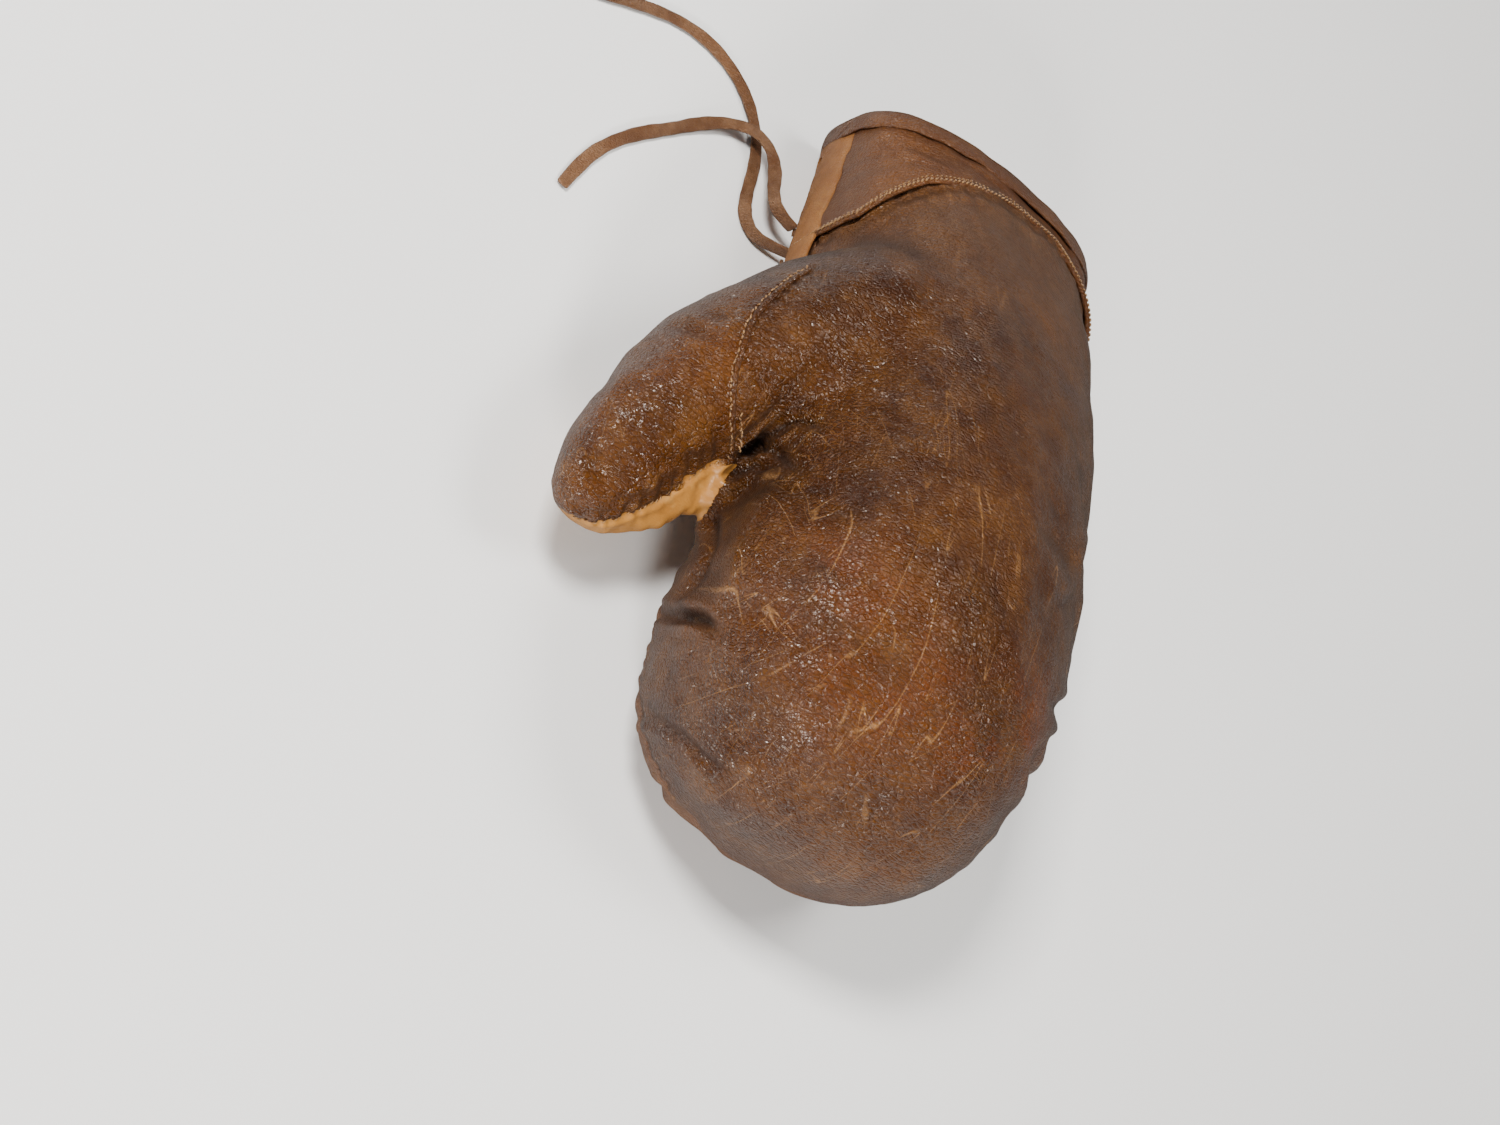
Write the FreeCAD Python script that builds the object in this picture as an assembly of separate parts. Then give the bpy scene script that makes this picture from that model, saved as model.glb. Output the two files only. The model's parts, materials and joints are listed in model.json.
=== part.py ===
"""Left-hand lace-up boxing glove of brown leather, lying palm down with its knuckles towards -Y.

Millimetres, +Z up, +Y out of the cuff, thumb on the -X side.  Every piece is its own solid
and each is written to parts/NODE.step.  The soft pieces are plain solids of the true size.
"""
import FreeCAD, Part
import math
import os

from FreeCAD import Vector

# ---------------------------------------------------------------- driving dimensions
HIDE = 2.2              # thickness of the outer leather
TRIM = 1.2              # thickness of binding, facings and welts laid on the leather
LINING = 1.2            # thickness of the pocket's lining
PLY_GAP = 0.12          # clearance between plies of one body
BODY_GAP = 0.6          # clearance between bodies that move
RIM_Y = 148.0           # plane of the cuff's open end
LOFT_END_Y = 156.0      # skins are lofted past the rim and trimmed back

# The glove's outer shape: one row per cross-section square to Y.
# y, half width on the thumb side, half width on the little finger side, top z, bottom z,
# z of the widest line, squareness of the lower corner on the thumb side
SKIN = [
    (156.0, 52, 60, 53, 0.6, 28, 4.5),
    (148.0, 52, 60, 56, 1.2, 29, 4.5),
    (120.0, 53, 63, 69, 3.6, 33, 4.5),
    (88.0, 55, 66, 84, 3.6, 39, 4.2),
    (50.0, 58, 69, 97, 5.0, 46, 3.4),
    (10.0, 60, 70, 107, 7.0, 52, 3.0),
    (-30.0, 63, 70, 113, 5.0, 56, 2.8),
    (-70.0, 67, 69, 113, -1.0, 55, 2.8),
    (-103.0, 62, 65, 98, 0.0, 50, 2.8),
    (-124.0, 47, 51, 78, 10.0, 46, 2.5),
    (-134.0, 25, 28, 60, 26.0, 44, 2.3),
]
# The hand pocket, from the cuff's mouth to the finger ends, in the same columns.
POCKET = [
    (156.0, 45, 53, 49, 8.0, 28, 3.4),
    (148.0, 45, 53, 51, 8.6, 29, 3.4),
    (120.0, 46, 55, 61, 12.0, 33, 3.4),
    (88.0, 47, 55, 68, 14.0, 39, 3.2),
    (50.0, 45, 51, 74, 22.0, 46, 3.0),
    (10.0, 43, 48, 78, 30.0, 52, 2.8),
    (-30.0, 43, 46, 78, 32.0, 56, 2.6),
    (-70.0, 40, 42, 74, 32.0, 54, 2.5),
    (-92.0, 30, 32, 66, 38.0, 52, 2.4),
]
ROUND_TOP = 2.3         # superellipse exponent of the back of the hand
ROUND_LOW = 2.8         # and of the lower corner on the little finger side
OUTLINE_STEPS = 28      # points round each cross-section

# The thumb: x, y, z of its centreline and its radius.
THUMB = [
    (-30.0, 62.0, 60.0, 28.0),
    (-56.0, 38.0, 56.0, 28.0),
    (-81.0, 10.0, 48.0, 26.0),
    (-98.0, -20.0, 40.0, 23.0),
    (-108.0, -48.0, 34.0, 16.0),
    (-111.0, -62.0, 32.0, 7.0),
]
STALL_RADIUS = [13.0, 13.0, 13.0, 11.5]     # the thumb's pocket at the first rows of THUMB

# Seams.
CUFF_SEAM_SIDE_Y, CUFF_SEAM_MID_Y = 96.0, 114.0     # the cuff's lower seam arches over the back
WELT_HALF = 1.6                                     # half width of the cuff's folded lower edge
HEM = 8.0                                           # width of the binding round the rim
SIDE_SEAM = [(160.0, 30.0), (110.0, 30.0), (50.0, 26.0), (-30.0, 22.0), (-90.0, 22.0), (-150.0, 30.0)]

PAD_SPLIT = 22.0        # the padding's halves meet this much above the side seam
THUMB_SEAM = [(160.0, 66.0), (62.0, 58.0), (10.0, 44.0), (-20.0, 36.0), (-70.0, 28.0), (-150.0, 20.0)]
GRIP_RADIUS, GRIP_Y, GRIP_Z = 7.0, -74.0, 40.0      # the roll across the fingers' end of the pocket

# Lacing on the palm side of the wrist.
SLIT_X, SLIT_HALF = -35.0, 6.0          # middle of the slit and half its width
SLIT_END_Y = 62.0                       # closed end of the slit
FACING_TOP_Z = 20.0                     # the thumb side's eyelet facing climbs the side to here
FACING_EDGE_X = -11.0                   # the little finger side's facing ends here
HOLE_RADIUS = 2.2
HOLE_Z = 12.0                           # the thumb side's holes are in the side wall
HOLE_X = -20.5                          # the little finger side's holes are in the bottom
HOLES_Y = [70.0, 86.0, 102.0, 118.0, 134.0]
LACED = 3                               # the first pairs are laced, the others are empty
LACE_WIDTH, LACE_THICK = 5.0, 1.4
LACE_PASS = 1.5                         # radius of the bunched lace in a hole
UNPADDED_Z = 26.0                       # no padding below this height beside the slit

# Joints: where each turns and how far, in degrees.
FLEX_Y, FLEX_Z = -38.0, 74.0
FLEX_CLOSE, FLEX_OPEN = 15.0, 8.0
THUMB_PIVOT = Vector(-73.0, 19.0, 0.0)
THUMB_HEADING = Vector(-0.65, -0.76, 0.0).normalize()
THUMB_IN, THUMB_OUT = 12.0, 12.0
ANGLE_SPARE = 0.6                       # the gaps are cut this much wider than the travel
FLAP_OPEN = 25.0                        # the loose corners of the cuff fold outwards
FLAP_FOLDS = {                          # each fold's ends, on the slit and at the rim, and which way is in
    "thumb_side": (Vector(-38, 107, -2), Vector(-66, 150, 20), Vector(1, 0, 1)),
    "little_side": (Vector(-32, 107, 1.5), Vector(18, 150, -0.6), Vector(0, 0, 1)),
}
TONGUE_OUT, TONGUE_X0, TONGUE_X1 = 5.4, -42.5, -16.0        # depth below the skin, side edges
TONGUE_Y0, TONGUE_Y1, TONGUE_THICK = 64.5, 137.0, 2.8
TONGUE_HINGE = Vector(-29.0, 63.5, 11.2)
TONGUE_LIFT = 18.0

# The two loose ends of the lace: where each one runs, point by point.
LACE_TUBE = 3.0         # a round tube with about the flat lace's section
LACE_END_A = [
    (-53.3, 102.0, 12.0), (-62.0, 102.8, 12.6), (-66.5, 109.0, 12.2), (-67.5, 118.0, 11.0),
    (-71.0, 127.0, 9.2), (-79.0, 131.5, 7.0), (-89.0, 129.0, 4.0), (-99.0, 122.0, 1.9),
    (-109.0, 112.0, 1.6), (-120.0, 102.0, 1.6), (-130.0, 90.0, 1.6), (-137.0, 77.0, 1.6),
    (-141.0, 63.0, 1.6),
]
LACE_END_B = [
    (-48.4, 95.6, 7.2), (-56.5, 94.4, 5.4), (-64.0, 95.6, 3.0), (-69.5, 102.0, 1.7),
    (-71.0, 112.0, 1.6), (-71.5, 123.0, 1.6), (-75.0, 134.5, 1.6), (-82.0, 144.0, 1.6),
    (-92.0, 151.0, 1.6), (-105.0, 155.0, 1.6), (-120.0, 154.5, 1.6), (-136.0, 149.5, 1.6),
    (-152.0, 142.0, 1.6), (-167.0, 136.0, 1.6), (-183.0, 133.0, 1.6), (-199.0, 127.0, 1.6),
    (-212.0, 119.0, 1.6),
]

FAR = 220.0             # longer than the glove, for cutters
PLACE = Vector(26.7, -7.6, 0)           # puts the origin under the middle of the glove, laces apart


# ---------------------------------------------------------------- shapes
def slopes(xs, ys):
    """The slope at each point of a smooth curve through them."""
    last = len(xs) - 1
    found = []
    for i in range(last + 1):
        low, high = max(i - 1, 0), min(i + 1, last)
        found.append((ys[high] - ys[low]) / (xs[high] - xs[low]))
    return found


def superellipse(angle, row, inset):
    """(x, z) on a cross-section; the angle runs from the back of the hand to the thumb side."""
    _, thumb_half, little_half, top, bottom, mid, corner = row
    s, c = math.sin(angle), math.cos(angle)
    power = ROUND_TOP if c >= 0 else corner if s >= 0 else ROUND_LOW
    half = (thumb_half if s >= 0 else little_half) - inset
    height = (top - mid if c >= 0 else mid - bottom) - inset
    x = -half * math.copysign(abs(s) ** (2 / power), s)
    z = mid + height * math.copysign(abs(c) ** (2 / power), c)
    return x, z


def section(row, y, inset):
    """The closed outline of a cross-section, moved inwards by inset."""
    points = []
    for i in range(OUTLINE_STEPS):
        x, z = superellipse(2 * math.pi * i / OUTLINE_STEPS, row, inset)
        points.append(Vector(x, y, z))
    even = [i / OUTLINE_STEPS for i in range(OUTLINE_STEPS + 1)]
    curve = Part.BSplineCurve()
    curve.interpolate(Points=points, Parameters=even, PeriodicFlag=True)
    return Part.Wire([curve.toShape()])


def body_solid(rows, inset):
    """The solid inside the rows' skin, its surface moved inwards by inset."""
    ys = [row[0] for row in rows]
    halves = [(row[1] + row[2]) / 2 for row in rows]
    sections = []
    for row, slope in zip(rows, slopes(ys, halves)):
        along = 1 / math.hypot(1, slope)
        sections.append(section(row, row[0] + inset * slope * along, inset * along))
    return Part.makeLoft(sections, True, False)


def thumb_solid(rows, radii):
    """A tube of round sections along the thumb's centreline."""
    centres = [Vector(*row[:3]) for row in rows]
    circles = []
    for i, radius in enumerate(radii):
        heading = centres[min(i + 1, len(centres) - 1)] - centres[max(i - 1, 0)]
        circles.append(Part.Wire([Part.Circle(centres[i], heading.normalize(), radius).toShape()]))
    return Part.makeLoft(circles, True, False)


def thumb_skin(inset):
    """The thumb's outer shape, its surface moved inwards by inset."""
    rows = [list(row) for row in THUMB]
    tip = Vector(*rows[-1][:3]) - Vector(*rows[-2][:3])
    rows[-1][:3] = list(Vector(*rows[-1][:3]) - tip.normalize() * inset)
    return thumb_solid(rows, [row[3] - inset * (0.6 if row is rows[-1] else 1) for row in rows])


def box(x0, x1, y0, y1, z0, z1):
    """A box between two corners."""
    return Part.makeBox(x1 - x0, y1 - y0, z1 - z0, Vector(x0, y0, z0))


def prism(points, direction):
    """The solid swept by a polygon along a direction."""
    return Part.Face(Part.makePolygon(points + [points[0]])).extrude(direction)


def above_cuff_seam(shift):
    """Everything on the rim's side of the arched cuff seam, with the seam moved by shift along Y."""
    side, mid = CUFF_SEAM_SIDE_Y + shift, CUFF_SEAM_MID_Y + shift
    arch = Part.Arc(Vector(-FAR / 2, side - 20, -FAR), Vector(0, mid, -FAR), Vector(FAR / 2, side - 20, -FAR))
    corners = [
        Vector(FAR / 2, side - 20, -FAR), Vector(FAR / 2, FAR, -FAR),
        Vector(-FAR / 2, FAR, -FAR), Vector(-FAR / 2, side - 20, -FAR),
    ]
    edges = [arch.toShape()] + [Part.makeLine(a, b) for a, b in zip(corners, corners[1:])]
    return Part.Face(Part.Wire(edges)).extrude(Vector(0, 0, 2 * FAR))


def above_line(line, shift):
    """Everything above a smooth line of (y, z) points seen from the side, moved up by shift."""
    seam = Part.BSplineCurve()
    seam.interpolate([Vector(-FAR, y, z + shift) for y, z in line])
    first, last = line[0], line[-1]
    corners = [
        Vector(-FAR, last[0], last[1] + shift), Vector(-FAR, last[0], FAR),
        Vector(-FAR, first[0], FAR), Vector(-FAR, first[0], first[1] + shift),
    ]
    edges = [seam.toShape()] + [Part.makeLine(a, b) for a, b in zip(corners, corners[1:])]
    return Part.Face(Part.Wire(edges)).extrude(Vector(2 * FAR, 0, 0))


def above_side_seam(shift):
    """Everything on the back-of-hand side of the long side seam."""
    return above_line(SIDE_SEAM, shift)


def above_thumb_seam(shift):
    """Everything on the back-of-hand side of the thumb's seam."""
    return above_line(THUMB_SEAM, shift)


def flex_gap():
    """The hourglass gap across the knuckles that lets the fist turn about the flex axis."""
    near, reach = BODY_GAP / 2, FAR / 2
    low = near + reach * math.tan(math.radians(FLEX_CLOSE + ANGLE_SPARE))
    high = near + reach * math.tan(math.radians(FLEX_OPEN + ANGLE_SPARE))
    outline = [
        (near, -reach), (near, reach), (-high, reach), (-near, 0), (-low, -reach),
    ]
    return prism([Vector(-FAR / 2, FLEX_Y + y, FLEX_Z + z) for y, z in outline], Vector(FAR, 0, 0))


def thumb_gap():
    """The same gap at the thumb's root, about the upright thumb axis."""
    ahead, across = THUMB_HEADING, Vector(-THUMB_HEADING.y, THUMB_HEADING.x, 0)
    near, reach = BODY_GAP / 2, FAR / 2
    inner = near + reach * math.tan(math.radians(THUMB_IN + ANGLE_SPARE))
    outer = near + reach * math.tan(math.radians(THUMB_OUT + ANGLE_SPARE))
    outline = [
        (-near, -reach), (-near, reach), (inner, reach), (near, 0), (outer, -reach),
    ]
    base = THUMB_PIVOT - Vector(0, 0, FAR / 2)
    return prism([base + ahead * a + across * b for a, b in outline], Vector(0, 0, FAR))


def beyond_thumb_root():
    """Everything on the thumb's side of its root plane."""
    across = Vector(-THUMB_HEADING.y, THUMB_HEADING.x, 0) * (FAR / 2)
    base = THUMB_PIVOT - Vector(0, 0, FAR / 2)
    ahead = THUMB_HEADING * FAR
    return prism([base - across, base + across, base + across + ahead, base - across + ahead], Vector(0, 0, FAR))


def beyond_fold(side, shift):
    """The block on the loose side of a cuff corner's fold, its plane moved outwards by shift."""
    start, end, inward = FLAP_FOLDS[side]
    along = (end - start).normalize()
    inward = (inward - along * inward.dot(along)).normalize()
    normal = along.cross(inward)
    loose = Vector(SLIT_X, RIM_Y, 0) - start
    if normal.dot(loose) < 0:
        normal = -normal
    start = start + normal * shift
    low, high = start - along * 20 - inward * 20, start + along * 100 - inward * 20
    block = prism([low, high, high + inward * 42, low + inward * 42], normal * 70)
    half = (-FAR, SLIT_X) if side == "thumb_side" else (SLIT_X, FAR)
    return block.common(box(*half, 0, FAR, -FAR, FAR))


def pull(shape, *tools):
    """shape with each tool cut away."""
    for tool in tools:
        shape = shape.cut(tool)
    return shape


def turned(shape, pivot, axis, degrees):
    """A copy of shape turned about an axis."""
    copy = shape.copy()
    copy.rotate(pivot, axis, degrees)
    return copy


def shell(solid_at, outer, inner):
    """The layer between two depths of a nest of solids."""
    return solid_at(outer).cut(solid_at(inner))


def biggest(shape):
    """The largest solid of a cut's result, without its crumbs."""
    return max(shape.Solids, key=lambda solid: solid.Volume)


# ---------------------------------------------------------------- nests of solids
kept = {}


def skin(inset):
    """The glove's body at a depth below its outer surface."""
    if ("skin", inset) not in kept:
        kept["skin", inset] = body_solid(SKIN, inset)
    return kept["skin", inset]


def pocket(inset):
    """The hand pocket, at a depth inside its lining's face."""
    if ("pocket", inset) not in kept:
        kept["pocket", inset] = body_solid(POCKET, inset)
    return kept["pocket", inset]


def thumb(inset):
    """The thumb at a depth below its outer surface."""
    if ("thumb", inset) not in kept:
        kept["thumb", inset] = thumb_skin(inset)
    return kept["thumb", inset]


def stall(inset):
    """The thumb's pocket, at a depth inside its lining's face."""
    if ("stall", inset) not in kept:
        rows = THUMB[:len(STALL_RADIUS)]
        kept["stall", inset] = thumb_solid(rows, [radius - inset for radius in STALL_RADIUS])
    return kept["stall", inset]


# ---------------------------------------------------------------- cutters
ABOVE_FLOOR = box(-FAR, FAR, -FAR, FAR, 0, FAR)
BEFORE_RIM = box(-FAR, FAR, -FAR, RIM_Y, -FAR, FAR)
SLIT = box(SLIT_X - SLIT_HALF, SLIT_X + SLIT_HALF, SLIT_END_Y, FAR, -FAR / 2, UNPADDED_Z)
UNPADDED = box(-FAR, FACING_EDGE_X, SLIT_END_Y, FAR, -FAR / 2, UNPADDED_Z)
FIST_SIDE = box(-FAR, FAR, -FAR, FLEX_Y, -FAR, FAR)
FLEX_GAP = flex_gap()
THUMB_GAP = thumb_gap()
THUMB_SIDE = beyond_thumb_root()
BACK_SIDE = above_side_seam(0)
PALM_SIDE_CUT = above_side_seam(-PLY_GAP)
PAD_OUT = HIDE + PLY_GAP                # depth of the padding's outer face
PAD_IN = -LINING - PLY_GAP              # and of its inner face, in the pockets' nest
TRIM_IN = -PLY_GAP                      # depth of the inner face of what is laid on the leather
TRIM_OUT = -PLY_GAP - TRIM


def hole_at(side, y):
    """The cutter for one lace hole."""
    if side == "thumb_side":
        return Part.makeCylinder(HOLE_RADIUS, 20, Vector(-63, y, HOLE_Z), Vector(1, 0, 0))
    return Part.makeCylinder(HOLE_RADIUS, 20, Vector(HOLE_X, y, -10), Vector(0, 0, 1))


HOLES = [hole_at(side, y) for side in FLAP_FOLDS for y in HOLES_Y]
LOOSE = {side: beyond_fold(side, BODY_GAP / 2) for side in FLAP_FOLDS}
FOLDS = [beyond_fold(side, -BODY_GAP / 2) for side in FLAP_FOLDS]
FACINGS = {
    "thumb_side": box(-FAR, SLIT_X - SLIT_HALF, SLIT_END_Y, RIM_Y - HEM - PLY_GAP, -FAR, FACING_TOP_Z),
    "little_side": box(SLIT_X + SLIT_HALF, FACING_EDGE_X, SLIT_END_Y, RIM_Y - HEM - PLY_GAP, -FAR, UNPADDED_Z),
}
WELT_CUTS = [
    box(-FAR, FACING_EDGE_X + PLY_GAP, 0, FAR, -FAR, FACING_TOP_Z + PLY_GAP),
]


# ---------------------------------------------------------------- the main body and the fist
def split_at_flex(shape):
    """The hand's part and the fist's part of a layer that crosses the knuckles."""
    apart = shape.cut(FLEX_GAP)
    return biggest(apart.cut(FIST_SIDE)), biggest(apart.common(FIST_SIDE))


def leather():
    """The hand's and the fist's outer panels, the cuff's band and the thumb root's panel."""
    hide = shell(skin, 0, HIDE).common(ABOVE_FLOOR).common(BEFORE_RIM)
    hide = pull(hide, SLIT, thumb(TRIM_IN))
    band = pull(hide.common(above_cuff_seam(PLY_GAP)), *HOLES, *FOLDS)
    rest = hide.cut(above_cuff_seam(0))
    back, knuckles = split_at_flex(rest.common(BACK_SIDE))
    palm, fingers = split_at_flex(pull(rest, PALM_SIDE_CUT, *HOLES, *FOLDS))
    root = pull(shell(thumb, 0, HIDE), skin(TRIM_IN), THUMB_SIDE, THUMB_GAP)
    return {
        "cuff_band": biggest(band), "back_panel": back, "palm_panel": palm,
        "knuckle_panel": knuckles, "finger_panel": fingers, "thumb_root_panel": biggest(root),
    }


def padding():
    """Foam between the leather and the lining, in a back half, a palm half and the wrist's."""
    foam = skin(PAD_OUT).common(box(-FAR, FAR, -FAR, RIM_Y - PLY_GAP, -FAR, FAR))
    foam = pull(foam, pocket(PAD_IN), stall(PAD_IN), UNPADDED, *FOLDS)
    wrist = foam.common(above_cuff_seam(PLY_GAP))
    rest = foam.cut(above_cuff_seam(0))
    back, knuckles = split_at_flex(rest.common(above_side_seam(PAD_SPLIT)))
    palm, fingers = split_at_flex(rest.cut(above_side_seam(PAD_SPLIT - PLY_GAP)))
    root = pull(thumb(PAD_OUT), stall(PAD_IN), skin(HIDE), THUMB_SIDE, THUMB_GAP)
    return {
        "wrist_pad": biggest(wrist), "back_pad": back, "palm_pad": palm,
        "knuckle_pad": knuckles, "finger_pad": fingers, "thumb_root_pad": biggest(root),
    }


def linings():
    """The pocket's lining, with the start of the thumb's, and the roll that the fingers grip."""
    branch = pull(stall(-LINING), THUMB_SIDE, THUMB_GAP)
    cloth = pull(pocket(-LINING).fuse(branch), pocket(0), stall(0))
    cloth = pull(cloth.common(BEFORE_RIM), UNPADDED, *FOLDS)
    hand, fist = split_at_flex(cloth)
    roll = Part.makeCylinder(GRIP_RADIUS, FAR, Vector(-FAR / 2, GRIP_Y, GRIP_Z), Vector(1, 0, 0))
    return {"hand_lining": hand, "finger_lining": fist, "grip_roll": biggest(roll.common(pocket(PLY_GAP)))}


# ---------------------------------------------------------------- the thumb
def thumb_pieces():
    """The moving thumb, trimmed to clear the body through its swing."""
    clear = skin(-BODY_GAP)
    swept = [turned(clear, THUMB_PIVOT, Vector(0, 0, 1), -step * THUMB_IN / 3) for step in range(4)]

    def moving(shape):
        return biggest(pull(shape.common(THUMB_SIDE), THUMB_GAP, *swept))

    hide = shell(thumb, 0, HIDE)
    foam = shell(lambda depth: thumb(depth) if depth > 0 else stall(depth), PAD_OUT, PAD_IN)
    foam_top = above_thumb_seam(0)
    return {
        "thumb_outer_panel": moving(hide.common(foam_top)),
        "thumb_inner_panel": moving(hide.cut(above_thumb_seam(-PLY_GAP))),
        "thumb_back_pad": moving(foam.common(foam_top)),
        "thumb_front_pad": moving(foam.cut(above_thumb_seam(-PLY_GAP))),
        "thumb_lining": moving(shell(stall, -LINING, 0)),
    }


# ---------------------------------------------------------------- the cuff's trim
def bindings():
    """The strip folded over the rim: round the padded wall, and round bare leather at the corners."""
    end = box(-FAR, FAR, RIM_Y - HEM, RIM_Y + TRIM, -FAR, FAR)
    inside = box(-FAR, FAR, 0, RIM_Y, -FAR, FAR)
    padded = skin(TRIM_OUT).cut(pocket(TRIM)).common(end)
    padded = padded.cut(shell(lambda depth: skin(depth) if depth < 0 else pocket(0), TRIM_IN, 0).common(inside))
    bare = shell(skin, TRIM_OUT, PAD_OUT + TRIM).common(end)
    bare = bare.cut(shell(skin, TRIM_IN, PAD_OUT).common(inside)).common(ABOVE_FLOOR).cut(SLIT)
    made = {"cuff_binding": biggest(pull(padded.common(ABOVE_FLOOR), SLIT, *FOLDS))}
    for side, block in LOOSE.items():
        made["corner_binding_" + side] = biggest(bare.common(block))
    return made


def facings():
    """The eyelet facings beside the slit, split where the cuff's corners fold."""
    ply = pull(shell(skin, TRIM_OUT, TRIM_IN), *HOLES)
    made = {}
    for side, strip in FACINGS.items():
        facing = ply.common(strip)
        made["facing_" + side] = biggest(pull(facing, *FOLDS))
        made["corner_facing_" + side] = biggest(facing.common(LOOSE[side]))
    return made


def corners():
    """The loose leather corners of the cuff beside the slit."""
    hide = pull(shell(skin, 0, HIDE).common(BEFORE_RIM), SLIT, *HOLES)
    return {"corner_" + side: biggest(hide.common(block)) for side, block in LOOSE.items()}


def welt():
    """The folded lower edge of the cuff band, standing proud along its seam."""
    ply = shell(skin, TRIM_OUT, TRIM_IN).common(above_cuff_seam(-WELT_HALF))
    return {"cuff_seam_welt": biggest(pull(ply, above_cuff_seam(WELT_HALF), thumb(TRIM_IN), *WELT_CUTS))}


def tongue():
    """The padded tongue behind the slit, which lifts into the pocket."""
    sheet = shell(skin, TONGUE_OUT, TONGUE_OUT + TONGUE_THICK)
    return {"tongue": biggest(sheet.common(box(TONGUE_X0, TONGUE_X1, TONGUE_Y0, TONGUE_Y1, -FAR, UNPADDED_Z)))}


# ---------------------------------------------------------------- the lace
LACE_GAP, LACE_GAP_INSIDE = 0.7, 0.45               # clearance between a run of lace and what it lies on
LACE_LAID = TRIM_OUT - LACE_GAP         # depth of the inner face of the lace outside the facings
LACE_UNDER = HIDE + LACE_GAP_INSIDE + LACE_THICK    # and of the lace inside the leather
LACE_END_Z = HOLE_Z + 1.5               # the runs end just past the side's holes
CORNER_Z = 7.0                          # one run ends low on the corner, where its free end leaves
LACE_BENDS = 6                          # flat facets in a run
LACE_START = math.radians(174)          # the section's angle at the bottom's holes


def row_at(y):
    """The skin's row between two given ones."""
    for low, high in zip(SKIN[1:], SKIN):
        if low[0] <= y <= high[0]:
            part = (y - low[0]) / (high[0] - low[0])
            return [a + (b - a) * part for a, b in zip(low, high)]
    raise ValueError("no such section")


def side_x(y, z, depth=0.0):
    """x of the thumb side's wall, at a depth, at a height below its widest line."""
    _, half, _, _, bottom, mid, corner = row_at(y)
    return -(half - depth) * (1 - ((mid - z) / (mid - bottom - depth)) ** corner) ** (1 / corner)


def angle_at(y, z, depth):
    """The section's angle, in radians, where the thumb side's lower corner is at height z."""
    _, _, _, _, bottom, mid, corner = row_at(y)
    return math.pi - math.acos(((mid - z) / (mid - bottom - depth)) ** (corner / 2))


def lace_run(start_y, end_y, depth, top=LACE_END_Z):
    """A flat run of lace over the slit, from the bottom's hole at start_y to the side's at end_y."""
    end_x = side_x(end_y, HOLE_Z)

    def bend(part_round, at_depth):
        last = angle_at(end_y, top, at_depth)
        angle = LACE_START + (last - LACE_START) * part_round
        part = 0.0
        for _ in range(4):
            x, z = superellipse(angle, row_at(start_y + (end_y - start_y) * part), at_depth)
            part = (x - HOLE_X) / (end_x - HOLE_X)
        return Vector(x, start_y + (end_y - start_y) * part, z)

    steps = [i / LACE_BENDS for i in range(LACE_BENDS + 1)]
    outline = [bend(step, depth) for step in steps]
    outline += [bend(step, depth - LACE_THICK) for step in reversed(steps)]
    across = Vector(start_y - end_y, end_x - HOLE_X, 0).normalize() * LACE_WIDTH
    return prism([place - across / 2 for place in outline], across)


def lace_pass(side, y):
    """The bunched lace through one hole, from the middle of the outside run to that of the inside one."""
    outer, inner = LACE_LAID - LACE_THICK / 2, LACE_UNDER - LACE_THICK / 2
    if side == "thumb_side":
        start, end = side_x(y, HOLE_Z, outer), side_x(y, HOLE_Z, inner)
        return Part.makeCylinder(LACE_PASS, end - start, Vector(start, y, HOLE_Z), Vector(1, 0, 0))
    start = Vector(HOLE_X, y, row_at(y)[4] + outer)
    return Part.makeCylinder(LACE_PASS, inner - outer, start, Vector(0, 0, 1))


def lacing():
    """The laced part: a bar inside, a cross outside and a cross inside, with a pass through each hole."""
    low, middle, high = HOLES_Y[:LACED]
    runs = [
        lace_run(low, low, LACE_UNDER),
        lace_run(low, middle, LACE_LAID), lace_run(middle, low, LACE_LAID),
        lace_run(middle, high, LACE_UNDER), lace_run(high, middle, LACE_UNDER),
        lace_run(high, high - 8, LACE_LAID, CORNER_Z),
    ]
    passes = [lace_pass(side, y) for side in FLAP_FOLDS for y in HOLES_Y[:LACED]]
    return {"lacing": biggest(runs[0].multiFuse(runs[1:] + passes).common(ABOVE_FLOOR))}


def tube_along(route, diameter, name):
    """A round tube on straight runs joined by tangent arcs, with its radii and volume printed."""
    points = [Vector(*point) for point in route]
    edges, radii, reached = [], [], points[0]
    for before, corner, after in zip(points, points[1:], points[2:]):
        back, ahead = before - corner, after - corner
        half_turn = (math.pi - back.getAngle(ahead)) / 2
        trim = 0.45 * min(back.Length, ahead.Length)
        radius = trim / math.tan(half_turn)
        start, end = corner + back.normalize() * trim, corner + ahead.normalize() * trim
        middle = corner + (back + ahead).normalize() * (radius / math.cos(half_turn) - radius)
        edges += [Part.LineSegment(reached, start).toShape(), Part.Arc(start, middle, end).toShape()]
        radii.append(round(radius, 1))
        reached = end
    edges.append(Part.LineSegment(reached, points[-1]).toShape())
    path = Part.Wire(edges)
    heading = (points[1] - points[0]).normalize()
    circle = Part.Wire([Part.Circle(points[0], heading, diameter / 2).toShape()])
    tube = path.makePipeShell([circle], True, True)
    expected = path.Length * math.pi * diameter ** 2 / 4
    print(name, "radii", radii, "length", round(path.Length, 1), "volume", round(tube.Volume / expected, 4))
    return tube


def lace_ends():
    """The two free ends."""
    routes = {"lace_end_a": LACE_END_A, "lace_end_b": LACE_END_B}
    return {name: tube_along(route, LACE_TUBE, name) for name, route in routes.items()}


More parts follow.
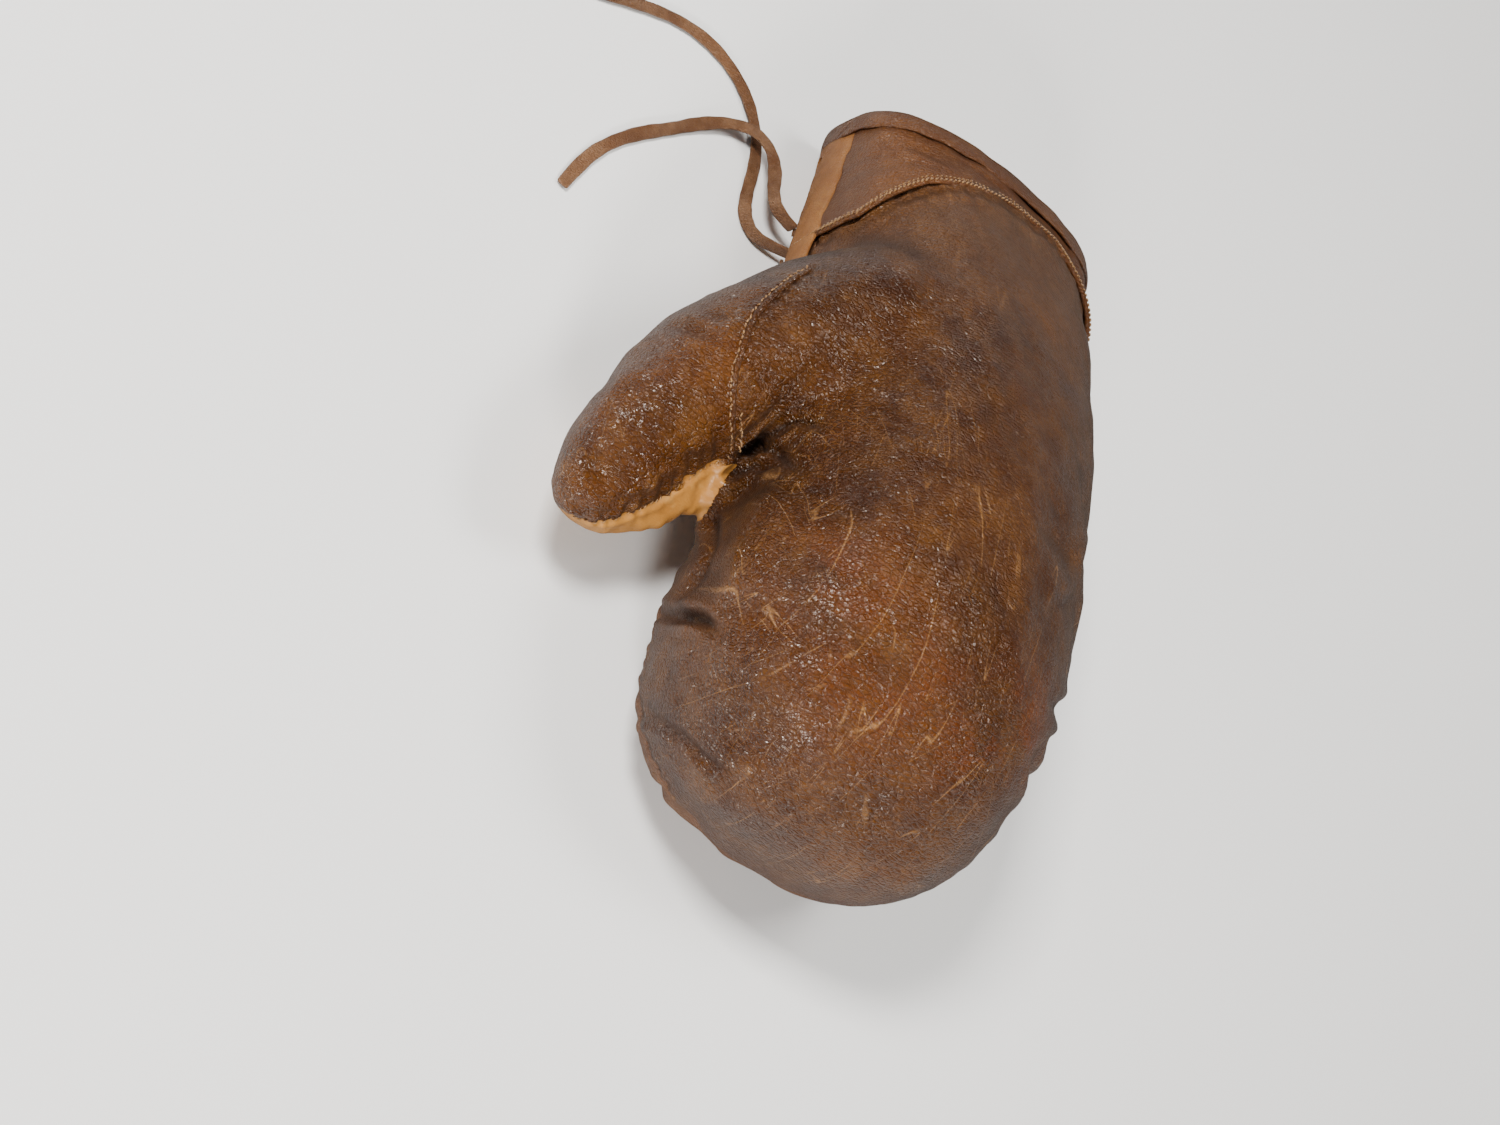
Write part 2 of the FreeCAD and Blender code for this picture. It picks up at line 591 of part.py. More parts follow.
def print_joints():
    """Where each joint turns, in the finished glove's frame, and its range in degrees."""
    thumb_start, thumb_end, _ = FLAP_FOLDS["thumb_side"]
    little_start, little_end, _ = FLAP_FOLDS["little_side"]
    across, upright = Vector(1, 0, 0), Vector(0, 0, 1)
    joints = {
        "fist_flex": (Vector(0, FLEX_Y, FLEX_Z), across, -FLEX_OPEN, FLEX_CLOSE),
        "thumb_swing": (THUMB_PIVOT, upright, -THUMB_OUT, THUMB_IN),
        "corner_fold_thumb_side": (thumb_start, (thumb_end - thumb_start).normalize(), 0, FLAP_OPEN),
        "corner_fold_little_side": (little_start, (little_start - little_end).normalize(), 0, FLAP_OPEN),
        "tongue_lift": (TONGUE_HINGE, across, 0, TONGUE_LIFT),
    }
    for name, (pivot, axis, low, high) in joints.items():
        at, along = [round(v, 3) for v in pivot + PLACE], [round(v, 5) for v in axis]
        print("joint", name, at, along, low, high)


# ---------------------------------------------------------------- write every piece
def main():
    os.makedirs("parts", exist_ok=True)
    print_joints()
    groups = [
        leather, padding, linings, thumb_pieces, bindings, facings, corners, welt, tongue,
        lacing, lace_ends,
    ]
    for group in groups:
        for name, shape in group().items():
            shape.translate(PLACE)
            shape.exportStep("parts/" + name + ".step")
            print(name, shape.ShapeType, shape.isValid(), round(shape.Volume), len(shape.Solids))


main()
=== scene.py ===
"""Looks of a worn brown leather lace-up boxing glove, for the left hand, lying palm down."""

import json
import math
from contextlib import contextmanager

import bmesh
import bpy
import numpy as np
from mathutils import Matrix, Vector, noise
from mathutils.bvhtree import BVHTree

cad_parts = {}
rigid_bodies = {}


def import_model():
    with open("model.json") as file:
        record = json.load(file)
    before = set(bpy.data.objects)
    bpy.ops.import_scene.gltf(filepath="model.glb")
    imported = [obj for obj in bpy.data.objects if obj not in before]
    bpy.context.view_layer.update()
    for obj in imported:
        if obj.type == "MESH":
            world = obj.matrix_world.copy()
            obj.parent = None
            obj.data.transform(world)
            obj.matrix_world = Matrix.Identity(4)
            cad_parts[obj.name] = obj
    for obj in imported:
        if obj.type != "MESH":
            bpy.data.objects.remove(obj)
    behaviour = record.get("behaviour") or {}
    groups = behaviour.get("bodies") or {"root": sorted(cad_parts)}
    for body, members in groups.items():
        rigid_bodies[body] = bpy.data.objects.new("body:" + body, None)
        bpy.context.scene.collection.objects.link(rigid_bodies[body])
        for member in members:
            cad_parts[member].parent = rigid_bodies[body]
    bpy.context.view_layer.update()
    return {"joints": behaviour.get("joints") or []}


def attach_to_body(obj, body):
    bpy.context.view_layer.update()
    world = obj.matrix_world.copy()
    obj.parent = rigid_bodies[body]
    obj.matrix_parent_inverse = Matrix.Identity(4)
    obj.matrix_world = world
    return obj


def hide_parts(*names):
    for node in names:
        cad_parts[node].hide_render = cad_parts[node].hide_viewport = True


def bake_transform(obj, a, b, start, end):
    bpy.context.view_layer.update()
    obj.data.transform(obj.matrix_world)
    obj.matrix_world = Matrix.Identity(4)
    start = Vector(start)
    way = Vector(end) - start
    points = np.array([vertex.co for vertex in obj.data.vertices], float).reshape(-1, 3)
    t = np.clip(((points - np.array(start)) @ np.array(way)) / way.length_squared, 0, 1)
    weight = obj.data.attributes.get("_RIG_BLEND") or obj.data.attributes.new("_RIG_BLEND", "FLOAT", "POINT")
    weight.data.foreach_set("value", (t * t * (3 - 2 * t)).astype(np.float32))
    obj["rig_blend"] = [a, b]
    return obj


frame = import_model()
CAD_NAMES = {piece.name for piece in bpy.data.objects}
JOINT = {joint["name"]: joint for joint in frame["joints"]}
RANDOM = np.random.default_rng(11)

# ---------------------------------------------------------------- driving dimensions, in mm
# The glove's own axes: x from its thumb side, y out of its cuff, z up from the floor.
FLEX_Y, FLEX_Z = -38.0, 74.0
THUMB_PIVOT = np.array([-73.0, 19.0, 0.0])
HEADING = np.array([-0.65, -0.76, 0.0]) / math.hypot(0.65, 0.76)
PLACE = np.array([
    JOINT["thumb_swing"]["pos_m"][0] * 1000 - THUMB_PIVOT[0],
    JOINT["fist_flex"]["pos_m"][1] * 1000 - FLEX_Y,
    0.0,
])
RIM_Y, HEM = 148.0, 8.0             # the cuff's open end, and how far its folded strip reaches from there
SLIT = (-41.0, -29.0)               # the cuff's slit, in x
SLIT_X = sum(SLIT) / 2
SLIT_END_Y = 62.0
FACING_EDGE_X, FACING_TOP_Z = -11.0, 20.0
HOLE_RADIUS, HOLE_Z, HOLE_X = 2.2, 12.0, -20.5
HOLES_Y = [70.0, 86.0, 102.0, 118.0, 134.0]
CUFF_LAP = 0.7                      # the cuff band stands this proud of the body's leather
CUFF_START_Y = 125.0                # about the cuff's middle, where the search for its lines starts
FLOOR_GAP, FLOOR_CLEAR = 0.3, 0.02  # leather and lace lie this high, and nothing is lower than the second

# y, half widths on the thumb and little finger sides, top, bottom, widest z, lower corner's squareness
SKIN = np.array([
    (156.0, 52, 60, 53, 0.6, 28, 4.5),
    (148.0, 52, 60, 56, 1.2, 29, 4.5),
    (120.0, 53, 63, 69, 3.6, 33, 4.5),
    (88.0, 55, 66, 84, 3.6, 39, 4.2),
    (50.0, 58, 69, 97, 5.0, 46, 3.4),
    (10.0, 60, 70, 107, 7.0, 52, 3.0),
    (-30.0, 63, 70, 113, 5.0, 56, 2.8),
    (-70.0, 67, 69, 113, -1.0, 55, 2.8),
    (-103.0, 62, 65, 98, 0.0, 50, 2.8),
    (-124.0, 47, 51, 78, 10.0, 46, 2.5),
    (-134.0, 25, 28, 60, 26.0, 44, 2.3),
    (-137.0, 0.5, 0.5, 44.5, 43.5, 44, 2.0),
])
POCKET = np.array([
    (156.0, 45, 53, 49, 8.0, 28, 3.4),
    (148.0, 45, 53, 51, 8.6, 29, 3.4),
    (120.0, 46, 55, 61, 12.0, 33, 3.4),
    (88.0, 47, 55, 68, 14.0, 39, 3.2),
    (50.0, 45, 51, 74, 22.0, 46, 3.0),
    (10.0, 43, 48, 78, 30.0, 52, 2.8),
    (-30.0, 43, 46, 78, 32.0, 56, 2.6),
    (-70.0, 40, 42, 74, 32.0, 54, 2.5),
    (-88.0, 30, 32, 66, 38.0, 52, 2.4),
    (-94.0, 0.5, 0.5, 52.5, 51.5, 52, 2.0),
])
ROUND_TOP, ROUND_LOW = 2.3, 2.8
# x, y, z of the thumb's centreline and its radius
THUMB = np.array([
    (-30.0, 62.0, 60.0, 28.0),
    (-56.0, 38.0, 56.0, 28.0),
    (-81.0, 10.0, 48.0, 26.0),
    (-98.0, -20.0, 40.0, 23.0),
    (-108.0, -48.0, 34.0, 16.0),
    (-111.0, -61.0, 32.0, 8.5),
    (-111.8, -64.5, 31.5, 0.4),
])
THUMB_UNDER = 0.74                  # the thumb's underside is flatter than its back
THUMB_LENGTH = 190                  # along its centreline, about
# How far the thumb's tan side stands out towards the fist: distance along the thumb and mm
THUMB_KEEL = np.array([
    (0.0, 0.0), (0.52, 0.0), (0.60, 6.0), (0.65, 12.5), (0.70, 16.5), (0.77, 15.0), (0.85, 11.5), (0.92, 7.5),
    (0.97, 3.0), (1.0, 0.0),
])
KEEL_ANGLES = (158.0, 197.0, 285.0)     # where the keel starts, is highest and ends


# ---------------------------------------------------------------- smooth curves and surfaces
def unit(vectors):
    """The same directions, one long."""
    return vectors / np.linalg.norm(vectors, axis=-1, keepdims=True)


def through(rows, at, evenly=False):
    """A smooth curve through rows of numbers; at runs from 0 to 1 by distance along them, or by row."""
    steps = np.ones(len(rows) - 1) if evenly else np.linalg.norm(np.diff(rows[:, :4], axis=0), axis=1)
    knots = np.concatenate([[0], np.cumsum(steps)]) / steps.sum()
    slopes = np.gradient(rows, knots, axis=0)
    at = np.clip(np.asarray(at, float), 0, 1)
    i = np.clip(np.searchsorted(knots, at, side="right") - 1, 0, len(rows) - 2)
    h = (knots[i + 1] - knots[i])[..., None]
    t = (at - knots[i])[..., None] / h
    return (
        (2 * t**3 - 3 * t**2 + 1) * rows[i] + (t**3 - 2 * t**2 + t) * h * slopes[i]
        + (3 * t**2 - 2 * t**3) * rows[i + 1] + (t**3 - t**2) * h * slopes[i + 1]
    )


def where_y(rows, y):
    """How far along the rows a given y lies."""
    at = np.linspace(0, 1, 2001)
    return np.interp(-np.asarray(y, float), -through(rows, at)[:, 0], at)


def around(rows, at, angle):
    """Points on a skin; angle 0 is the back of the hand, 90 degrees the thumb side."""
    angle = np.radians(np.asarray(angle, float))
    y, thumb_half, little_half, top, bottom, mid, corner = np.moveaxis(through(rows, at), -1, 0)
    s, c = np.sin(angle), np.cos(angle)
    power = np.where(c >= 0, ROUND_TOP, np.where(s >= 0, corner, ROUND_LOW))
    half = np.where(s >= 0, thumb_half, little_half)
    height = np.where(c >= 0, top - mid, mid - bottom)
    x = -half * np.sign(s) * np.abs(s) ** (2 / power)
    z = mid + height * np.sign(c) * np.abs(c) ** (2 / power)
    return np.stack(np.broadcast_arrays(x, y, z), -1)


def skin(at, angle, out=0.0, rows=SKIN):
    """Points on a skin, moved out along its normal."""
    base = around(rows, at, angle)
    along = around(rows, np.asarray(at) + 0.002, angle) - around(rows, np.asarray(at) - 0.002, angle)
    across = around(rows, at, np.asarray(angle) + 1.5) - around(rows, at, np.asarray(angle) - 1.5)
    normal = np.cross(across, along)
    normal /= np.linalg.norm(normal, axis=-1, keepdims=True) + 1e-9
    centre = through(rows, at)
    outward = base - np.stack([0 * centre[..., 0], centre[..., 0], centre[..., 5]], -1)
    normal *= np.sign(np.sum(normal * outward, -1, keepdims=True))
    return base + normal * np.asarray(out, float)[..., None]


def skin_at(y, angle, out=0.0, rows=SKIN):
    """The same, at a given y."""
    return skin(where_y(rows, y), angle, out, rows)


def thumb_at(at, angle, out=0.0):
    """Points on the thumb; angle 0 is its outer side, 90 degrees its back, 180 the fist's side."""
    at = np.asarray(at, float)
    row = through(THUMB, at)
    ahead = (through(THUMB, np.minimum(at + 0.01, 1)) - through(THUMB, np.maximum(at - 0.01, 0)))[..., :3]
    side = unit(np.cross(ahead, [0, 0, 1.0]))
    up = unit(np.cross(side, ahead))
    angle = np.asarray(angle, float)
    start, peak, end = KEEL_ANGLES
    turn = angle % 360
    rise = np.clip(np.minimum((turn - start) / (peak - start), (end - turn) / (end - peak)), 0, 1)
    keel = np.interp(at, *THUMB_KEEL.T) * rise**2 * (3 - 2 * rise)
    angle = np.radians(angle)[..., None]
    radius = row[..., 3:] + (np.asarray(out, float) + keel)[..., None]
    lift = np.sin(angle) * np.where(np.sin(angle) < 0, THUMB_UNDER, 1.0)
    return row[..., :3] + radius * (np.cos(angle) * side + lift * up)


def metres(points):
    """From the glove's own millimetres to the frame's metres."""
    return (np.asarray(points, float) + PLACE) * 0.001


def point(x, y, z):
    """One place in the frame's metres, as a tuple."""
    return tuple(metres([x, y, z]))


# ---------------------------------------------------------------- meshes
def linked(name, data):
    """A new object in the scene."""
    made = bpy.data.objects.new(name, data)
    bpy.context.scene.collection.objects.link(made)
    return made


def mesh_object(name, vertices, faces):
    """A new smoothly shaded object from points in the glove's millimetres."""
    mesh = bpy.data.meshes.new(name)
    mesh.from_pydata(metres(vertices).tolist(), [], faces)
    mesh.validate()
    mesh.update()
    mesh.shade_smooth()
    return linked(name, mesh)


def grid_faces(rows, columns, ring):
    """Quads over a grid of points numbered row by row; a ring joins each row's last point to its first."""
    faces = []
    for r in range(rows - 1):
        for c in range(columns if ring else columns - 1):
            d = (c + 1) % columns
            faces.append((r * columns + c, r * columns + d, (r + 1) * columns + d, (r + 1) * columns + c))
    return faces


def grid_object(name, points, ring=False, capped=False):
    """An object over a grid of points; capped closes both ends of a ring."""
    rows, columns = points.shape[:2]
    faces = grid_faces(rows, columns, ring)
    if capped:
        faces.append(tuple(range(columns)))
        faces.append(tuple(reversed(range((rows - 1) * columns, rows * columns))))
    return mesh_object(name, points.reshape(-1, 3), faces)


def modify(piece, kind, **settings):
    """Adds a modifier and applies it."""
    modifier = piece.modifiers.new(kind, kind)
    for key, value in settings.items():
        setattr(modifier, key, value)
    apply_modifiers(piece)


def apply_modifiers(piece):
    """Turns the piece's modifiers into its mesh."""
    graph = bpy.context.evaluated_depsgraph_get()
    mesh = bpy.data.meshes.new_from_object(piece.evaluated_get(graph), depsgraph=graph)
    piece.modifiers.clear()
    piece.data = mesh


@contextmanager
def editing(piece):
    """The piece's mesh in editable form, put back afterwards."""
    edit = bmesh.new()
    edit.from_mesh(piece.data)
    yield edit
    edit.to_mesh(piece.data)
    edit.free()
    piece.data.update()


def outward(piece):
    """Makes the faces of a closed piece look out."""
    with editing(piece) as edit:
        bmesh.ops.recalc_face_normals(edit, faces=edit.faces)


def face_middles(edit):
    """The middle of each face, in the glove's millimetres."""
    return np.array([face.calc_center_median() for face in edit.faces]) * 1000 - PLACE


def drop_faces(edit, stays):
    """Deletes the faces that stays says no to, and loose points."""
    gone = [face for face, keep in zip(edit.faces, stays) if not keep]
    bmesh.ops.delete(edit, geom=gone, context="FACES")


def coordinates(piece):
    """The piece's points in the glove's millimetres."""
    flat = np.empty(len(piece.data.vertices) * 3)
    piece.data.vertices.foreach_get("co", flat)
    return flat.reshape(-1, 3) * 1000 - PLACE


def set_coordinates(piece, points):
    """Moves the piece's points, given in the glove's millimetres."""
    piece.data.vertices.foreach_set("co", metres(points).ravel())
    piece.data.update()


def normals(piece):
    """The normal at each of the piece's points."""
    flat = np.empty(len(piece.data.vertices) * 3)
    piece.data.vertices.foreach_get("normal", flat)
    return flat.reshape(-1, 3)


def distance_to(points, line):
    """Each point's distance to a polyline, and how far along it the nearest place is, from 0 to 1."""
    line = np.asarray(line, float)
    lengths = np.linalg.norm(np.diff(line, axis=0), axis=1)
    ahead = np.concatenate([[0], np.cumsum(lengths)])
    best = np.full(len(points), 1e9)
    place = np.zeros(len(points))
    for i, (a, b) in enumerate(zip(line, line[1:])):
        t = np.clip((points - a) @ (b - a) / max(lengths[i] ** 2, 1e-9), 0, 1)
        d = np.linalg.norm(points - a - t[:, None] * (b - a), axis=1)
        nearer = d < best
        best[nearer] = d[nearer]
        place[nearer] = (ahead[i] + t[nearer] * lengths[i]) / ahead[-1]
    return best, place


def rough(points, size, seed):
    """Smooth noise from -1 to 1 at each point, with features of about that size."""
    shift = Vector((seed * 7.3, seed * 3.1, -seed * 5.7))
    return np.array([noise.noise(Vector(p) / size + shift) for p in points])


def smooth_line(points, count):
    """Points on a smooth curve through a few."""
    return through(np.asarray(points, float), np.linspace(0, 1, count), evenly=True)


# ---------------------------------------------------------------- materials
SPECULAR = 0.36


def shader(name, colour, roughness, sheen=0.0):
    """A new material with its principled shader's constants set, and a helper to add nodes."""
    material = bpy.data.materials.new(name)
    material.use_nodes = True
    surface = material.node_tree.nodes["Principled BSDF"]
    surface.inputs["Base Color"].default_value = (*colour, 1)
    surface.inputs["Roughness"].default_value = roughness
    surface.inputs["Specular IOR Level"].default_value = SPECULAR
    surface.inputs["Sheen Weight"].default_value = sheen
    material.diffuse_color = (*colour, 1)
    return material, Wiring(material.node_tree, surface)


class Wiring:
    """Short names for the nodes that the materials are built from."""

    def __init__(self, tree, surface):
        self.nodes, self.links, self.surface = tree.nodes, tree.links, surface
        self.place = self.nodes.new("ShaderNodeTexCoord").outputs["Object"]

    def put(self, kind, sockets, **settings):
        """A new node with its settings and inputs, which are values or other nodes' outputs."""
        node = self.nodes.new(kind)
        for key, value in settings.items():
            setattr(node, key, value)
        for key, value in sockets.items():
            if isinstance(value, bpy.types.NodeSocket):
                self.links.new(value, node.inputs[key])
            else:
                node.inputs[key].default_value = value
        return node

    def stretch(self, scale, turn=(0, 0, 0)):
        """The object's coordinates, turned and then scaled along each axis."""
        sockets = {"Vector": self.place, "Scale": tuple(1 / s for s in scale), "Rotation": turn}
        return self.put("ShaderNodeMapping", sockets, vector_type="TEXTURE").outputs[0]

    def noise(self, scale, detail=4.0, rough=0.55, vector=None, distortion=0.0):
        sockets = {
            "Vector": vector or self.place, "Scale": scale, "Detail": detail, "Roughness": rough,
            "Distortion": distortion,
        }
        return self.put("ShaderNodeTexNoise", sockets).outputs["Fac"]

    def cells(self, scale, vector=None):
        """The distance to the edge of the nearest cell."""
        sockets = {"Vector": vector or self.place, "Scale": scale}
        return self.put("ShaderNodeTexVoronoi", sockets, feature="DISTANCE_TO_EDGE").outputs["Distance"]

    def wave(self, scale, distortion, vector=None, direction="X"):
        sockets = {"Vector": vector or self.place, "Scale": scale, "Distortion": distortion}
        return self.put("ShaderNodeTexWave", sockets, bands_direction=direction).outputs["Fac"]

    def span(self, value, low, high, out_low=0.0, out_high=1.0):
        """Maps a range of values to another, clamped."""
        sockets = {"Value": value, "From Min": low, "From Max": high, "To Min": out_low, "To Max": out_high}
        return self.put("ShaderNodeMapRange", sockets).outputs["Result"]

    def mix(self, factor, first, second):
        def colour(value):
            return (*value, 1) if isinstance(value, tuple) else value

        node = self.nodes.new("ShaderNodeMix")
        node.data_type = "RGBA"
        for socket, value in ((node.inputs[0], factor), (node.inputs[6], first), (node.inputs[7], second)):
            if isinstance(value, bpy.types.NodeSocket):
                self.links.new(value, socket)
            else:
                socket.default_value = value if isinstance(value, float) else colour(value)
        return node.outputs[2]

    def calc(self, operation, *values):
        return self.put("ShaderNodeMath", dict(enumerate(values)), operation=operation).outputs[0]

    def sum(self, *terms):
        """A weighted sum of (value, weight) pairs."""
        total = None
        for value, weight in terms:
            scaled = self.product(value, weight)
            total = scaled if total is None else self.calc("ADD", total, scaled)
        return total

    def product(self, first, second):
        return self.calc("MULTIPLY", first, second)

    def attribute(self, name):
        return self.put("ShaderNodeAttribute", {}, attribute_name=name).outputs["Fac"]

    def bump(self, height, distance):
        node = self.put("ShaderNodeBump", {"Height": height, "Distance": distance, "Strength": 1.0})
        self.give("Normal", node.outputs[0])

    def give(self, socket, value):
        """Links a value to the material's shader."""
        self.links.new(value, self.surface.inputs[socket])


TAN_TONES = ((0.28, 0.115, 0.020), (0.40, 0.185, 0.040), (0.48, 0.26, 0.075))
SCRATCH_GOLD = (0.34, 0.175, 0.065)
SCRATCH_EDGE = (0.0005, 0.0045)     # where in the noise a scratch's edge starts and ends
# How long pale scratches run: scale along each axis, turn about the upright axis, and how broken they are.
SCRATCHES = [
    ((105, 5, 6), -0.12, 0.48), ((80, 6, 7), 0.24, 0.50), ((62, 4, 6), 0.05, 0.50), ((135, 7, 8), 0.12, 0.52),
    ((95, 9, 12), 0.75, 0.54), ((120, 9, 12), -0.6, 0.54), ((160, 14, 18), 0.45, 0.55),
]


def scratch_lines(w):
    """Thin broken lines, 1 on a line and 0 off it."""
    lines = None
    for scale, turn, broken in SCRATCHES:
        field = w.noise(1.0, 1.0, 0.4, w.stretch(scale, (0, 0, turn)), 0.06)
        near = w.calc("ABSOLUTE", w.calc("SUBTRACT", field, 0.5))
        on_line = w.span(near, *SCRATCH_EDGE, 1.0, 0.0)
        line = w.product(on_line, w.span(w.noise(17.0 + scale[0] / 5, 3, 0.6), broken, broken + 0.1))
        lines = line if lines is None else w.calc("MAXIMUM", lines, line)
    return lines


def leather(
    name, base, dark, pale, red=None, gloss=0.36, scratches=1.0, grain=1.0, tan=None, ruddy=None, relief=0.00034,
):
    """Worn leather: pores, stretch wrinkles, pale scratches, stains and rubbed patches.

    Marks on the mesh steer it: 'wear' dries and pales it, 'fold' darkens it with painted shade in its creases and seam
    valleys,
    'red' warms it, 'scratch' says how scratched it is and 'polish' how shiny. Where 'ruddy' is 1 it takes the second
    set of tones, and where 'tan' is over a half it is the undyed kind. Towards its outline, where it is seen at a
    grazing angle, painted shade darkens it too."""
    material, w = shader(name, base, gloss)
    grey = tuple(0.62 * p + 0.38 * sum(pale) / 3 for p in pale)
    hair = tuple(1.1 * c for c in pale)
    # The deep brown of the painted shade, in the creases, the seams and towards the outline.
    painted_shade_brown = tuple(0.35 * c for c in dark)
    if ruddy:
        base, dark, pale = (w.mix(w.attribute("ruddy"), a, b) for a, b in zip((base, dark, pale), ruddy))
    blotch, mottle = w.noise(15.0, 5, 0.6), w.noise(75.0, 6, 0.7)
    cells = w.cells(1.0, w.stretch((260 * grain, 640 * grain, 640 * grain)))
    pores = w.cells(1000.0 * grain)
    colour = w.mix(w.span(blotch, 0.36, 0.66), dark, base)
    colour = w.mix(w.span(mottle, 0.42, 0.72, 0.0, 0.42), colour, pale)
    colour = w.mix(w.span(w.noise(210.0, 4, 0.7), 0.36, 0.52, 0.38, 0.0), colour, dark)
    worn = w.product(w.attribute("wear"), w.span(w.noise(34.0, 6, 0.7), 0.3, 0.62, 0.35, 1.0))
    colour = w.mix(w.product(worn, 0.8), colour, grey)
    if red:
        patch = w.product(w.attribute("red"), w.span(w.noise(42.0, 6, 0.75), 0.42, 0.6))
        colour = w.mix(w.product(patch, 0.85), colour, red)
    lines = w.product(scratch_lines(w), w.span(w.attribute("scratch"), 0.0, 1.0, 0.1, 1.0))
    fine = w.span(w.cells(1.0, w.stretch((90, 300, 200), (0, 0, 0.5))), 0.0, 0.035, 1.0, 0.0)
    fine = w.product(w.product(fine, w.span(w.noise(48.0, 4, 0.6), 0.52, 0.62)), w.attribute("scratch"))
    colour = w.mix(w.product(fine, 0.45 * scratches), colour, hair)
    colour = w.mix(w.product(lines, 0.6 * scratches), colour, SCRATCH_GOLD)
    colour = w.mix(w.span(cells, 0.0, 0.1, 0.42, 0.0), colour, dark)
    colour = w.mix(w.span(pores, 0.0, 0.08, 0.3, 0.0), colour, dark)
    if tan:
        tan_mottle = w.mix(w.span(w.noise(48.0, 6, 0.7), 0.35, 0.65), tan[0], tan[1])
        tan_mottle = w.mix(w.span(w.noise(170.0, 4, 0.6), 0.55, 0.7, 0.0, 0.5), tan_mottle, tan[2])
        undyed = w.span(w.sum((w.attribute("tan"), 1.0), (w.noise(260.0, 4, 0.6), 0.05)), 0.515, 0.535)
        colour = w.mix(undyed, colour, tan_mottle)
    # Painted shade in the creases and seam valleys, from the 'fold' mark.
    colour = w.mix(w.span(w.attribute("fold"), 0.05, 1.0, 0.0, 0.85), colour, painted_shade_brown)
    # Painted shade: where the leather is seen at a grazing angle its colour is darkened, so that it looks darker and
    # duller than its gloss alone would make it.
    glancing = w.put("ShaderNodeLayerWeight", {"Blend": 0.5}).outputs["Facing"]
    w.give("Base Color", w.mix(w.span(glancing, 0.35, 0.95, 0.0, 0.5), colour, painted_shade_brown))
    height = w.sum(
        (w.span(pores, 0.0, 0.14), 0.3), (w.span(cells, 0.0, 0.2), 0.8), (w.noise(380.0, 5, 0.7), 0.5), (lines, 0.3),
    )
    if tan:
        height = w.product(height, w.span(undyed, 0.0, 1.0, 1.0, 0.12))
    w.bump(height, relief)
    rough = w.sum((w.noise(55.0, 5, 0.7), 0.3), (w.attribute("wear"), 0.28), (w.attribute("fold"), 0.1), (blotch, 0.2))
    if tan:
        rough = w.sum((rough, 1.0), (undyed, 0.22))
    rough = w.sum((rough, 1.0), (w.span(glancing, 0.3, 0.85), 0.4), (w.attribute("polish"), -0.13))
    w.give("Roughness", w.calc("ADD", rough, gloss - 0.28))
    return material


def cloth_lining(name, base, dark):
    """Soft woven lining, rubbed and stained."""
    material, w = shader(name, base, 0.9, sheen=0.3)
    weave, cross = (w.wave(260.0, 1.0, direction=direction) for direction in "XY")
    w.give("Base Color", w.mix(w.span(w.noise(22.0, 5, 0.65), 0.35, 0.65), dark, base))
    w.bump(w.sum((weave, 0.5), (cross, 0.5), (w.noise(300.0), 0.4)), 0.0003)
    return material


def twisted_thread(name, base, dark):
    """Waxed thread in two plies."""
    material, w = shader(name, base, 0.6, sheen=0.2)
    ply = w.wave(420.0, 0.6, w.stretch((1, 1, 1), (0.6, 0.5, 0.8)))
    colour = w.mix(w.span(ply, 0.2, 0.8), dark, base)
    w.give("Base Color", w.mix(w.span(w.noise(60.0), 0.45, 0.7, 0.0, 0.6), colour, dark))
    w.bump(ply, 0.0002)
    return material


# Each leather's tones: its body, its dark parts and its pale ones.
BROWN = leather(
    "worn_brown_leather", (0.088, 0.0270, 0.0022), (0.028, 0.0070, 0.0006), (0.172, 0.070, 0.013),
    (0.108, 0.025, 0.0020), gloss=0.32, tan=TAN_TONES,
    ruddy=((0.108, 0.032, 0.0030), (0.029, 0.0075, 0.0007), (0.19, 0.078, 0.016)), relief=0.00042,
)
PALM_BROWN = leather(
    "palm_leather", (0.145, 0.056, 0.018), (0.066, 0.023, 0.007), (0.250, 0.130, 0.058), gloss=0.46, scratches=0.7,
)
CUFF_BROWN = leather(
    "cuff_leather", (0.112, 0.037, 0.0068), (0.052, 0.015, 0.0026), (0.19, 0.083, 0.024), gloss=0.4, scratches=0.4,
)
FACING_TAN = leather(
    "facing_leather", (0.345, 0.142, 0.036), (0.18, 0.064, 0.014), (0.50, 0.25, 0.085),
    gloss=0.5, scratches=0.3, grain=1.4,
)
LACE_LEATHER = leather(
    "lace_leather", (0.20, 0.092, 0.040), (0.085, 0.034, 0.013), (0.42, 0.25, 0.14),
    gloss=0.45, scratches=0.5, grain=1.8,
)
THREAD = twisted_thread("linen_thread", (0.36, 0.20, 0.075), (0.14, 0.065, 0.022))
LINING_CLOTH = cloth_lining("lining_cloth", (0.33, 0.24, 0.15), (0.2, 0.14, 0.085))


def paint(piece, material):
    """One material over the whole piece."""
    piece.data.materials.clear()
    piece.data.materials.append(material)


def mark(piece, name, values):
    """Stores a number from 0 to 1 at each point, for the materials."""
    attribute = piece.data.attributes.get(name) or piece.data.attributes.new(name, "FLOAT", "POINT")
    attribute.data.foreach_set("value", np.clip(values, 0, 1).astype(np.float32))


